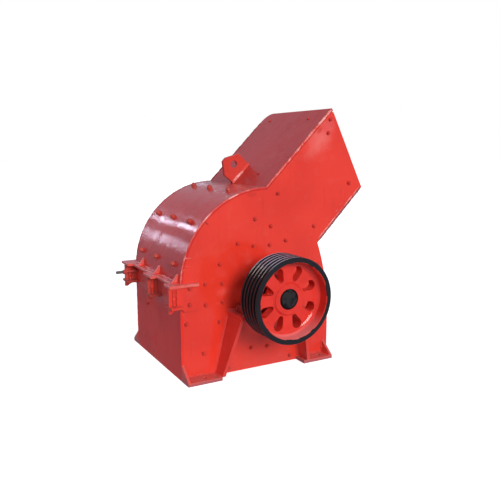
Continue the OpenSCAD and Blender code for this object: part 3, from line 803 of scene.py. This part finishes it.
def nut(across_flats, height, stud_d, proud, washer_d=None):
    """Washer, hexagon nut and bolt end, standing on Z = 0 and sunk 1 mm below it. proud is how far the
    bolt's end stands out of the nut."""
    hexes = hexagon(across_flats)
    washer = (washer_d or across_flats * 1.3) / 2
    thick = washer * 0.14
    turned_off = np.minimum(hexes, across_flats / 2 * 1.01)
    top = thick + height
    rows = [
        (washer, -0.001),
        (washer, thick * 0.8),
        (washer - thick * 0.25, thick),
        (turned_off, thick),
        (hexes, thick + height * 0.12),
        (hexes, top - height * 0.14),
        (turned_off, top),
    ]
    if proud > 0:
        rows += [(stud_d / 2, top), (stud_d / 2, top + proud * 0.8), (stud_d * 0.4, top + proud)]
    return profile(rows)


def spun(count, seed):
    """A turn of its own for each nut, since no fitter lines them up."""
    return np.random.default_rng(seed).uniform(0, np.pi / 3, count)


print("a 16 mm nut has", len(nut(0.016, 0.01, 0.012, 0.004)[2]), "faces")

# %% [markdown]
# ## Nuts on the side plates
#
# A square of liner bolts stands round the shaft, and more bolts hold the corners and the hopper. A tidy
# pattern could be worked out for them, but in the workshop the holes follow the liners inside and are
# marked by hand. So the places are written down in metres: the top and the back of the square as steps
# from the axis, the front as the back's mirror image, and the others as they stand. All nuts of one side
# are one mesh.

# %% Liner nuts on the side plates
top_row = np.array([(-0.120, 0.221), (-0.039, 0.204), (0.050, 0.201), (0.138, 0.216)])
back_row = np.array([(-0.212, 0.134), (-0.201, 0.044), (-0.200, -0.043), (-0.215, -0.135)])
ring_spots = np.concatenate([top_row, back_row, back_row[1:] * [-1, 1]]) + [0.0, AXIS_Z]
corner_spots = np.array([
    (-0.285, 0.342), (-0.285, 0.438), (-0.379, 0.265), (-0.297, 0.116), (-0.170, 0.024),
    (-0.050, 0.101), (0.038, 0.097), (-0.030, 0.717), (0.055, 0.678), (0.092, 0.829), (0.299, 0.663),
    (0.506, 0.865), (0.373, 1.108), (0.384, 1.172), (0.330, 0.250), (0.325, 0.470), (0.168, 0.027),
])
clamp_spots = np.array([(-0.368, 0.357), (-0.367, 0.429)])  # these two go through the clamp's web as well
CLAMP_WEB_T = 0.015
spots = np.concatenate([ring_spots, corner_spots, clamp_spots])
stands_out = np.append(np.zeros(len(spots) - 2), [CLAMP_WEB_T, CLAMP_WEB_T])
plate_nut = nut(0.016, 0.008, 0.010, 0.004, 0.020)
for side, label in ((-1, "near"), (1, "far")):
    at = np.stack([spots[:, 0], side * (Y_OUT + stands_out), spots[:, 1]], axis=1)
    piece(f"{label}_liner_nuts", placed(plate_nut, at, side * ALONG_Y, spun(len(at), 3 + side)), nut_enamel)

# %% [markdown]
# ## Nuts on the cover, the hopper and the end walls
#
# The cover's liner segments hang on larger bolts in three rows, of which the lowest wandered a little.
# Flat nuts hold the hopper's wear plates above and below, and the foot of the front wall. A nut could be
# turned into place by hand, but on a round cover each one faces another way. The copies are turned to the
# surface's own direction, which the angle on the cover or the slope gives.

# %% Cover nuts
cover_nut = nut(0.022, 0.012, 0.014, 0.006, 0.030)
row_angle, across = np.meshgrid(np.radians([13.2, 40.4, 72.0]), [-0.185, 0.020, 0.215], indexing="ij")
across[0] += [-0.020, -0.010, 0.0]
row_angle, across = row_angle.ravel(), across.ravel()
cover_at = on_round(COVER_R, row_angle, 0.0) + np.outer(across, ALONG_Y)
cover_up = np.stack([-np.cos(row_angle), 0 * across, np.sin(row_angle)], axis=1)
piece("cover_nuts", placed(cover_nut, cover_at, cover_up, spun(9, 5)), shade_darkened_clamp_enamel)

# %% Hopper and end wall nuts
slope_nut = nut(0.011, 0.004, 0.007, 0.001, 0.014)
upper = ((0.077, -0.134), (0.077, 0.165), (0.451, -0.166), (0.456, 0.207))
slope_at = np.concatenate([on_slope(np.array([u]), 0.0, y) for u, y in upper])
under = np.array([0.16, 0.34])
under_at = np.concatenate([on_slope(under, LIP - CHUTE_DEPTH, y) for y in (-0.18, 0.0, 0.18)])
above_nuts = placed(slope_nut, slope_at, OFF_SLOPE, spun(4, 6))
below_nuts = placed(slope_nut, under_at, -OFF_SLOPE, spun(6, 7))
piece("hopper_nuts", joined(above_nuts, below_nuts), slope_enamel)
back_nut = placed(slope_nut, [(wall_low.x, 0.130, 0.264)], -ALONG_X, spun(1, 8))
feed_at = [(feed_high.x, y, 0.11) for y in (-0.19, -0.06, 0.06, 0.19)]
feed_nuts = placed(slope_nut, feed_at, ALONG_X, spun(4, 9))
piece("end_wall_nuts", joined(back_nut, feed_nuts), nut_enamel)

# %% [markdown]
# ## Bearings
#
# A pillow block comes in two halves: two bolts press the cap down on the base, and two more hold the base
# to its shelf. A grease nipple stands on the cap, and four small bolts hold each seal's ring to the side
# plate. The bolts could be shaped as one mesh with the casting, but they are bought parts, so the nut
# templates are used again. Their places come from the CAD housing, whose shoulders carry the cap's bolts.

# %% Bearing bolts and nipples
base_low, base_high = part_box("near_bearing_housing")
BEARING_Y = -(base_low.y + base_high.y) / 2
BASE_TOP = base_low.z + 0.028
SHOULDER_TOP = base_low.z + 0.105
BASE_BOLT_X, CAP_BOLT_X = 0.1168, 0.086
SEAL_BOLT_R, SEAL_T = 0.071, 0.012
base_nut = nut(0.030, 0.016, 0.020, 0.012, 0.037)
cap_bolt = nut(0.024, 0.013, 0.016, 0.0, 0.030)
seal_bolt = nut(0.013, 0.006, 0.008, 0.0, 0.016)
nipple_rows = [
    (0.0065, -0.002), (0.0065, 0.006), (0.0042, 0.0065), (0.0042, 0.011),
    (0.0024, 0.0125), (0.0034, 0.0145), (0.0018, 0.017),
]
nipple = profile(nipple_rows, 16)
quarters = np.radians([45.0, 135.0, 225.0, 315.0])


def round_shaft(radius, y):
    """Four points round the rotor's axis: (radius cos a, y, axis height + radius sin a) at the quarters."""
    return np.stack([radius * np.cos(quarters), np.full(4, y), AXIS_Z + radius * np.sin(quarters)], axis=1)


bearing_parts = []
for side in (-1, 1):
    y = side * BEARING_Y
    base_at = [(x, y, BASE_TOP) for x in (-BASE_BOLT_X, BASE_BOLT_X)]
    cap_at = [(x, y, SHOULDER_TOP) for x in (-CAP_BOLT_X, CAP_BOLT_X)]
    bearing_parts += [
        placed(base_nut, base_at, ALONG_Z, spun(2, 11 + side)),
        placed(cap_bolt, cap_at, ALONG_Z, spun(2, 14 + side)),
        placed(nipple, [(0.0, y, base_high.z)], ALONG_Z),
        placed(seal_bolt, round_shaft(SEAL_BOLT_R, side * (Y_OUT + SEAL_T)), side * ALONG_Y),
    ]
piece("bearing_bolts", joined(*bearing_parts), cast_red)

# %% [markdown]
# ## The cover's flange
#
# The cover ends in a flat bar that lies on the end wall, and a cap plate over each clamp takes the pull of
# its stud. All of it is cut from plate and ground along its edges. The CAD piece has the same plates, but
# with knife edges, which catch no light. So each plate is made again as a bar with bevelled edges, which
# shine as the ground edges do, and the CAD piece gives way to them. Three gussets stand on the bar.

# %% Flange, caps and gussets
FLANGE_T = 0.012
GROUND = 0.0015  # bevel of a ground edge
GUSSET_YS = (-0.265, -0.040, 0.185)
GUSSET_REACH, GUSSET_HALF_T = 0.028, 0.006
clamp_low, clamp_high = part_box("near_clamp")
in_cover = wall_low.x + 0.005  # ends hidden in the cover's plate
gusset = np.array([
    (-GUSSET_REACH, -0.006), (0.005, -0.006), (0.005, 0.038), (0.0, 0.038), (-GUSSET_REACH, 0.0),
])
gusset += [wall_low.x, JOINT_Z + FLANGE_T]


def cap_plate(x1, y0, y1):
    """A plate on the joint, from the clamps' outer face to x1, 0.3 mm thicker each way than the bar."""
    return bar((clamp_low.x, y0, JOINT_Z - 0.0003), (x1, y1, JOINT_Z + FLANGE_T + 0.0003), GROUND)


# The outer cap plates reach 24 mm past the near side plate and 57 mm past the far one.
flange_plates = [
    bar((wall_low.x - 0.031, -Y_OUT, JOINT_Z), (in_cover, Y_OUT, JOINT_Z + FLANGE_T), GROUND),
    cap_plate(clamp_high.x, -0.324, -Y_OUT + 0.0005),
    cap_plate(in_cover, -Y_OUT, -0.257),
    cap_plate(in_cover, -0.085, 0.015),
    cap_plate(in_cover, 0.257, Y_OUT),
    cap_plate(clamp_high.x, Y_OUT - 0.0005, 0.357),
    *[along_y(gusset, y - GUSSET_HALF_T, y + GUSSET_HALF_T) for y in GUSSET_YS],
]
flange = piece("bevelled_cover_flange", joined(*flange_plates), flange_enamel)
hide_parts("cover_flange")

# %% [markdown]
# ## Threaded studs
#
# A stud stands upright in each clamp's slot and draws the flange down. A thread is a groove that winds round
# it: the radius falls and rises once per pitch, and each turn of the angle moves it on by one pitch. A bumped
# material could show it too, but a bump leaves the outline smooth, so the thread is real geometry. An M16
# thread has a pitch of 2 mm; here it is 4 mm, since 2 mm wouldn't show.

# %% Studs of the clamps
THREAD_DEPTH, CHAMFER, CHAMFER_LENGTH = 0.0013, 0.0016, 0.002


def threaded(length, across, pitch=0.004, columns=16):
    """A threaded rod on Z from 0 to its length. Its radius is across / 2 - depth * (1 + cos(2 pi (height
    / pitch - angle in turns))) / 2, and less again by the chamfer within 2 mm of both ends."""
    heights = np.linspace(0.0, length, int(length / pitch * 5) + 1)  # five rows to a turn
    turns = np.arange(columns) / columns
    wave = (1 + np.cos(2 * np.pi * (heights[:, None] / pitch - turns[None, :]))) / 2
    whole = np.clip(np.minimum(heights, length - heights) / CHAMFER_LENGTH, 0.0, 1.0)[:, None]
    radius = across / 2 - THREAD_DEPTH * wave - CHAMFER * (1 - whole)
    return turned(radius, np.broadcast_to(heights[:, None], radius.shape))


studs_low, studs_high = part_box("clamp_studs")
MID_CLAMP_Y = -0.035
STUD_D = studs_high.x - studs_low.x
STUD_X = (studs_low.x + studs_high.x) / 2
STUD_NUT_UP = 0.024  # the nuts' undersides above the studs' lower ends
stud_ys = [studs_low.y + STUD_D / 2, MID_CLAMP_Y, studs_high.y - STUD_D / 2]
stud_at = np.array([(STUD_X, y, studs_low.z) for y in stud_ys])
stud_rods = placed(threaded(studs_high.z - studs_low.z, STUD_D), stud_at, ALONG_Z)
stud_nut = nut(0.021, 0.014, 0.016, 0.0, 0.0212)
stud_nuts = placed(stud_nut, stud_at + STUD_NUT_UP * ALONG_Z, ALONG_Z, 0.3)
studs = piece("threaded_clamp_studs", joined(stud_rods, stud_nuts), small_enamel)
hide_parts("clamp_studs")

# %% Slot strips
# A thin strip in each slot, behind the stud's front, keeps the stud from slipping out.
SLOT_HALF_W = 0.0115
strips = [
    bar(
        (STUD_X - SLOT_HALF_W, y - 0.002, studs_low.z + 0.002),
        (STUD_X + SLOT_HALF_W, y + 0.004, studs_high.z - 0.002),
    )
    for y in stud_ys
]
piece("slot_strips", joined(*strips), shade_darkened_clamp_enamel)

# %% [markdown]
# ## The adjusting stud
#
# A long stud with a lock nut sticks out of the far clamp, to set the cover's play. It is bare at its outer
# end only: the rest was painted together with the clamp. One rod with a material that changes along it
# would do, but a bare thread and a painted one differ in gloss and dust as well as in colour. So there are
# two rods, end to end, each with a finish that is already there.

# %% Adjusting stud
BARE_END = 0.040
LOCK_NUT_OUT = 0.060  # from the stud's inner end
rod_low, rod_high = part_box("adjusting_stud")
rod_y, rod_z = (rod_low.y + rod_high.y) / 2, (rod_low.z + rod_high.z) / 2
rod_d = rod_high.z - rod_low.z
painted_x = rod_low.x + BARE_END
bare_rod = placed(threaded(BARE_END, rod_d), [(painted_x, rod_y, rod_z)], -ALONG_X)
adjusting = piece("threaded_adjusting_stud", bare_rod, zinc)
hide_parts("adjusting_stud")
painted_rod = placed(threaded(rod_high.x - painted_x, rod_d), [(rod_high.x, rod_y, rod_z)], -ALONG_X)
lock_at = [(rod_high.x - LOCK_NUT_OUT, rod_y, rod_z)]
lock_nut = placed(nut(0.024, 0.013, 0.016, 0.0, 0.030), lock_at, -ALONG_X, 0.2)
piece("painted_stud_and_lock_nut", joined(painted_rod, lock_nut), shade_darkened_clamp_enamel)

# %% [markdown]
# ## Weld beads
#
# Every plate is joined to the next with a fillet weld, a bead that fills the inner corner. A welder moves
# in small steps, so the bead has a scale-like ripple every few millimetres, and its width wanders a little.
# A plain three-sided rod would fill the corner too, but it would look like a moulding. So the bead is a
# profile carried along the corner, which bulges a little more than a straight chamfer. The ripple lags in
# the middle of the bead, as the pool of molten steel does, and both ends run out to nothing.
#
# Where two plates meet edge to edge, as the cover does with the side plates, there is no inner corner. The
# bead then lies on the edge like a thin rope, so its profile is a whole circle, half sunk into the steel.

# %% Paths of the beads
def resampled(points, step):
    """Points at even steps along a line through the given points, the distances of the steps along it,
    and those of the given points."""
    points = np.asarray(points, float)
    reach = np.concatenate([[0.0], np.cumsum(np.linalg.norm(np.diff(points, axis=0), axis=1))])
    s = np.linspace(0.0, reach[-1], max(int(reach[-1] / step), 4) + 1)
    return np.stack([np.interp(s, reach, points[:, k]) for k in range(3)], axis=1), s, reach


def carried(face, s, reach):
    """A direction given once, or at each given point, worked out at every step of the path."""
    face = np.asarray(face, float)
    if face.ndim == 1:
        return np.broadcast_to(face, (len(s), 3))
    return np.stack([np.interp(s, reach, face[:, k]) for k in range(3)], axis=1)


print("steps on a 100 mm path:", len(resampled([(0, 0, 0), (0.1, 0, 0)], 0.002)[1]))

# %% Weld beads
RIPPLE, LAG, SUNK_SHARE, HIDDEN = 0.10, 0.6, 0.55, 0.0008


def bead(points, face_a, face_b, leg=0.006, pitch=0.0065, seed=1, rope=False):
    """A bead along a corner. face_a and face_b are unit vectors from the corner along its two faces, or
    for a rope the ways out of them; each is given once or at every point. At an angle f between them its
    distance from the corner is leg * (1 + wander) * (1 + ripple) / (cos f + sin f)^0.7. A rope's is the same
    without the last term, all the way round, from a line sunk into the edge by 0.55 of the leg."""
    path, s, reach = resampled(points, pitch / 3)  # three steps to a ripple
    a, b = carried(face_a, s, reach), carried(face_b, s, reach)
    random = np.random.default_rng(seed)
    # The wander is three slow waves, each with its share of the leg, its length and a random phase.
    waves = zip((0.09, 0.07, 0.05), (0.071, 0.034, 0.019), random.uniform(0, 6.28, 3))
    wander = sum(share * np.sin(2 * np.pi * s / length + phase) for share, length, phase in waves)
    f = np.arange(8) * np.pi / 4 if rope else np.linspace(0, np.pi / 2, 5)
    bulge = np.ones(8) if rope else 1.0 / (np.cos(f) + np.sin(f)) ** 0.7
    lag = LAG * np.sin(2 * f) * (0.0 if rope else 1.0)
    ripple = RIPPLE * np.abs(np.sin(np.pi * (s[:, None] / pitch + lag[None, :] + random.uniform())))
    # Both ends run out as a quarter circle, down to 2 percent.
    ends = np.clip(np.minimum(s, s[-1] - s) / leg, 0.0, 1.0)
    ends = np.sqrt(1 - (1 - ends) ** 2) * 0.98 + 0.02
    size = leg * (1 + wander)[:, None] * bulge[None, :] * (1 + ripple) * ends[:, None]
    sunk = SUNK_SHARE * leg * (a + b) if rope else 0.0
    rays = np.cos(f)[None, :, None] * a[:, None, :] + np.sin(f)[None, :, None] * b[:, None, :]
    ring = (path - sunk)[:, None, :] + size[..., None] * rays
    if not rope:
        ring = np.concatenate([(path - HIDDEN * (a + b))[:, None, :], ring], axis=1)
    if np.dot(np.cross(a[0], b[0]), path[1] - path[0]) < 0:
        ring = ring[:, ::-1]
    return grid_surface(ring)


print("a 100 mm bead has", len(bead([(0, 0, 0), (0.1, 0, 0)], ALONG_Y, ALONG_Z)[2]), "faces")

# %% [markdown]
# ## Long seams
#
# Rope beads follow the edges where the cover, the hopper's top plate and the end wall lie over the side
# plates. The beads below the hopper and on the far side wear the dark red of the bearing housings as
# painted shade. The front wall and the hopper's underside are set in between the side plates, and there
# the bead fills a corner. Each seam could be traced by hand as a curve, but it has to touch both plates all
# along. So its path comes from the same circle, slope and bow as the plates do.

# %% Seams of the cover and the hopper
WELD_SHARP = 60.0  # beads are smooth over all edges less sharp than this, in degrees
arc = np.linspace(math.radians(3), math.radians(90), 50)
arc_out = np.stack([-np.cos(arc), 0 * arc, np.sin(arc)], axis=-1)
MOUTH_U = CHUTE_LEN - CHUTE_DEPTH * math.tan(LEAN)  # where the underside ends at the mouth
lower = np.array([0.02, MOUTH_U - 0.004])
seams, shaded = [], []
# The far seam ends 70 mm short of the mouth, and a thinner bead runs 13 mm above each lower one.
for side, short_of_mouth in ((-1, 0.006), (1, 0.070)):
    y, out = side * Y_OUT, side * ALONG_Y
    upper = seams if side < 0 else shaded
    slope_line = on_slope(np.array([-0.004, CHUTE_LEN - short_of_mouth]), 0.0, y)
    lower_line = on_slope(lower, -CHUTE_DEPTH, y)
    upper.append(bead(on_round(COVER_R, arc, y), arc_out, out, 0.0036, seed=10 + side, rope=True))
    upper.append(bead(slope_line, OFF_SLOPE, out, 0.0056, seed=20 + side, rope=True))
    shaded.append(bead(lower_line, -OFF_SLOPE, out, 0.0050, seed=24 + side, rope=True))
    seams.append(bead(lower_line + 0.013 * OFF_SLOPE, OFF_SLOPE, out, 0.0026, seed=27 + side, rope=True))
piece("cover_seam_beads", joined(*seams), bead_enamel, sharp=WELD_SHARP)
# The dark red of these beads is painted shade: they lie where the light doesn't reach.
piece("beads_darkened_as_painted_shade", joined(*shaded), cast_red, sharp=WELD_SHARP)

# %% Seams of the end wall
wall_seams = []
for side in (-1, 1):
    line = [(wall_low.x, side * Y_OUT, z) for z in (0.03, 0.425)]
    wall_seams.append(bead(line, -ALONG_X, side * ALONG_Y, 0.003, seed=30 + side, rope=True))
piece("end_wall_seam_beads", joined(*wall_seams), small_enamel, sharp=WELD_SHARP)

# %% Seams of the front wall and the underside
# The front wall stands straight up to the bow and then curves in: x = front - R + sqrt(R^2 - (z - start)^2).
BOW_R = 1.100 - LIP
BOW_START = 0.20
FRONT_WELD = 0.006
under_line = on_slope(np.array([-0.03, MOUTH_U - 0.01]), LIP - CHUTE_DEPTH, 0.0)
bow_z = np.linspace(BOW_START, feed_high.z - 0.012, 20)
bow_x = feed_high.x - BOW_R + np.sqrt(BOW_R**2 - (bow_z - BOW_START) ** 2)
front_line = np.stack([np.append(feed_high.x, bow_x), np.zeros(21), np.append(0.012, bow_z)], axis=1)
bow_centre = np.array([feed_high.x - BOW_R, 0.0, BOW_START])
bow_way = front_line - bow_centre
bow_way[0, 2] = 0.0
bow_way /= np.linalg.norm(bow_way, axis=1, keepdims=True)
front_seams = []
for side in (-1, 1):
    inside_face = np.array([0.0, side * Y_IN, 0.0])
    inward = -side * ALONG_Y
    front_seams.append(bead(under_line + inside_face, -OFF_SLOPE, inward, FRONT_WELD, seed=40 + side))
    front_seams.append(bead(front_line + inside_face, bow_way, inward, FRONT_WELD, seed=44 + side))
piece("front_seam_welds", joined(*front_seams), small_enamel, sharp=WELD_SHARP)

# %% [markdown]
# ## Welds of the stands, clamps and lug
#
# All the other welds are short and straight: two along each rib, one under and two on each shelf, three on
# each foot, and those of the clamps, the gussets and the lifting lug. Each could be an object of its own,
# but there are dozens. So a table lists where each one starts and ends and which way its two faces go, and
# one mesh is made from the whole table. Every bead has a seed of its own, so no two ripple alike.

# %% Straight fillets
def fillets(name, lines, leg, seed, material=small_enamel):
    """One piece from many straight fillets; each line is (start, end, face_a, face_b)."""
    beads = [bead([start, end], a, b, leg, seed=seed + i) for i, (start, end, a, b) in enumerate(lines)]
    return piece(name, joined(*beads), material, sharp=WELD_SHARP)


print("fillets are smooth up to", WELD_SHARP, "degrees")

# %% Welds of the ribs, shelves and feet
rib_low, rib_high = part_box("near_back_rib")
shelf_low, shelf_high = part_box("near_bearing_shelf")
RIB_T = 0.016
FOOT_T = 0.016
FOOT_GUSSET_T = 0.012
HEEL = 0.062  # how far a rib's weld runs out on its foot
BEARING_HALF = 0.086  # the shelf is welded from its ends up to the bearing
feet = ((*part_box("near_back_foot"), -1), (*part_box("near_front_foot"), 1))
stand_lines = []
for side in (-1, 1):
    y, out = side * Y_OUT, side * ALONG_Y
    for end in (-1, 1):
        foot = np.array([end * -rib_low.x, y, rib_low.z])
        top = np.array([end * -shelf_low.x, y, rib_high.z])
        behind = np.array([end * RIB_T, 0.0, 0.0])
        stand_lines += [
            (foot, top, out, end * ALONG_X),
            (foot - behind, top - behind, out, -end * ALONG_X),
            (foot, foot + HEEL * out, end * ALONG_X, ALONG_Z),
        ]
    under, above = shelf_low.z, shelf_high.z
    stand_lines += [
        ((shelf_low.x + 0.02, y, under), (shelf_high.x - 0.02, y, under), out, -ALONG_Z),
        ((shelf_low.x, y, above), (-BEARING_HALF, y, above), out, ALONG_Z),
        ((BEARING_HALF, y, above), (shelf_high.x, y, above), out, ALONG_Z),
    ]
    for low, high, end in feet:
        inner_x = low.x + FOOT_GUSSET_T if end < 0 else high.x - FOOT_GUSSET_T
        corner = (inner_x, y, FOOT_T)
        stand_lines += [
            ((low.x, y, FOOT_T), (high.x, y, FOOT_T), out, ALONG_Z),
            (corner, (inner_x, y + side * 0.07, FOOT_T), -end * ALONG_X, ALONG_Z),
            (corner, (inner_x, y, high.z - 0.004), -end * ALONG_X, out),
        ]
fillets("stand_welds", stand_lines, 0.006, 50)

# %% Welds of the flange and the clamps
mid_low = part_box("mid_clamp")[0]
FLANGE_TOP = JOINT_Z + FLANGE_T
clamp_lines = []
for side in (-1, 1):
    y, out = side * Y_OUT, side * ALONG_Y
    web_y = y + side * CLAMP_WEB_T
    clamp_lines += [
        ((clamp_low.x + 0.030, web_y, JOINT_Z), (clamp_high.x, web_y, JOINT_Z), out, -ALONG_Z),
        ((clamp_high.x, y, clamp_low.z), (clamp_high.x, y, JOINT_Z - 0.003), ALONG_X, out),
        ((wall_low.x + 0.01, y, FLANGE_TOP), (clamp_high.x, y, FLANGE_TOP), out, ALONG_Z),
    ]
for way in (-1, 1):
    y = MID_CLAMP_Y + way * CLAMP_WEB_T / 2
    foot, head = (wall_low.x, y, mid_low.z + 0.014), (wall_low.x, y, JOINT_Z - 0.002)
    clamp_lines.append((foot, head, -ALONG_X, way * ALONG_Y))
for middle in GUSSET_YS:
    for way in (-1, 1):
        y = middle + way * GUSSET_HALF_T
        outer, inner = (wall_low.x - GUSSET_REACH, y, FLANGE_TOP), (wall_low.x, y, FLANGE_TOP)
        clamp_lines.append((outer, inner, way * ALONG_Y, ALONG_Z))
near_end, far_end = (wall_low.x, -0.292, FLANGE_TOP), (wall_low.x, 0.292, FLANGE_TOP)
clamp_lines.append((near_end, far_end, -ALONG_X, ALONG_Z))
fillets("clamp_welds", clamp_lines, 0.0045, 90)

# %% Welds of the lifting lug
LUG_BASE = 0.138
lug_low, lug_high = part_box("lifting_lug")
lug_lines = [
    (*on_slope(np.array([0.0, LUG_BASE]), 0.0, y), OFF_SLOPE, way * ALONG_Y)
    for y, way in ((lug_low.y, -1), (lug_high.y, 1))
]
fillets("lug_welds", lug_lines, 0.009, 120, bead_enamel)

# %% [markdown]
# ## Tack marks
#
# Where the cover was drawn up to the plate, the fitter left a few short runs of weld on the plate's face.
# Marks in the paint could stand for them, but they are raised and catch the light, so they are rope beads
# like the seams. Each runs between two (x, z) places on the near side plate.

# %% Short tack marks
tacks = [
    ((-0.384, 0.566), (-0.350, 0.563)),
    ((-0.383, 0.527), (-0.358, 0.525)),
    ((-0.392, 0.512), (-0.380, 0.511)),
    ((0.4295, 0.726), (0.4445, 0.7425)),
    ((0.449, 0.757), (0.471, 0.771)),
]
tack_beads = [
    bead([(x, -Y_OUT, z) for x, z in run], ALONG_Z, -ALONG_Y, 0.0038, seed=130 + i, rope=True)
    for i, run in enumerate(tacks)
]
piece("tack_marks", joined(*tack_beads), bead_enamel, sharp=WELD_SHARP)

# %% [markdown]
# ## Shaft ends, pins and liner bolts
#
# Each wheel sits on a key, a square bar half in the shaft and half in the hub. The hammer pins end in a
# washer and a split pin. Inside, the liners show the flat heads of the bolts whose nuts stand outside; a
# head is a shallow dish with a socket in the middle. These could have been left out, since most of them
# are hidden in the dark, but someone who looks in through the hopper or turns the rotor would miss them.
# They are small, so each is a bar or a few rows turned about an axis.

# %% Shaft keys
shaft_low, shaft_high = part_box("main_shaft")
KEY_HALF_W, KEY_BOTTOM, KEY_TOP = 0.011, AXIS_Z + 0.030, AXIS_Z + 0.0435
KEY_FROM, KEY_TO = 0.001, 0.089  # distances in from the shaft's end
key_ends = (
    (shaft_low.y + KEY_FROM, shaft_low.y + KEY_TO),
    (shaft_high.y - KEY_TO, shaft_high.y - KEY_FROM),
)
keys = [bar((-KEY_HALF_W, y0, KEY_BOTTOM), (KEY_HALF_W, y1, KEY_TOP)) for y0, y1 in key_ends]
piece("shaft_keys", joined(*keys), shaft_steel, "rotor")

# %% Pin ends
PIN_REACH = 0.160
disc_low, disc_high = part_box("rotor_discs")
washer_rows = [(0.0225, 0.0), (0.027, 0.0), (0.028, 0.001), (0.028, 0.004), (0.027, 0.005), (0.0185, 0.005)]
washer_ring = profile(washer_rows)
split_pin = profile([(0.0018, -0.025), (0.0022, -0.024), (0.0022, 0.024), (0.0018, 0.025)], 8)
outward = np.stack([np.cos(quarters), 0 * quarters, np.sin(quarters)], axis=1)
pin_parts = []
for side, face in ((-1, disc_low.y), (1, disc_high.y)):
    at, out = round_shaft(PIN_REACH, face), side * ALONG_Y
    pin_parts += [placed(washer_ring, at - 0.0005 * out, out), placed(split_pin, at + 0.0075 * out, outward)]
piece("pin_washers_and_split_pins", joined(*pin_parts), rotor_plate, "rotor")

# %% Liner bolt heads inside
# Only bolts that go through the liner have a head there. Those up the hopper, at the feet and at the
# plate's back edge miss it.
LINER_Y = -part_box("near_side_liner")[1].y
head_rows = [(0.013, -0.001), (0.013, 0.0006), (0.0122, 0.0012), (0.0060, 0.0012), (0.0056, 0.0004)]
flat_head = profile(head_rows, 20)
up_slope = (spots[:, 0] - TOP[0] + spots[:, 1] - TOP[2]) / math.sqrt(2)
inside = spots[(up_slope < 0.13) & (spots[:, 1] > 0.06) & (spots[:, 0] > -0.375)]
heads = []
for side in (-1, 1):
    at = np.stack([inside[:, 0], np.full(len(inside), side * LINER_Y), inside[:, 1]], axis=1)
    heads.append(placed(flat_head, at, -side * ALONG_Y))
piece("liner_bolt_heads", joined(*heads), manganese)
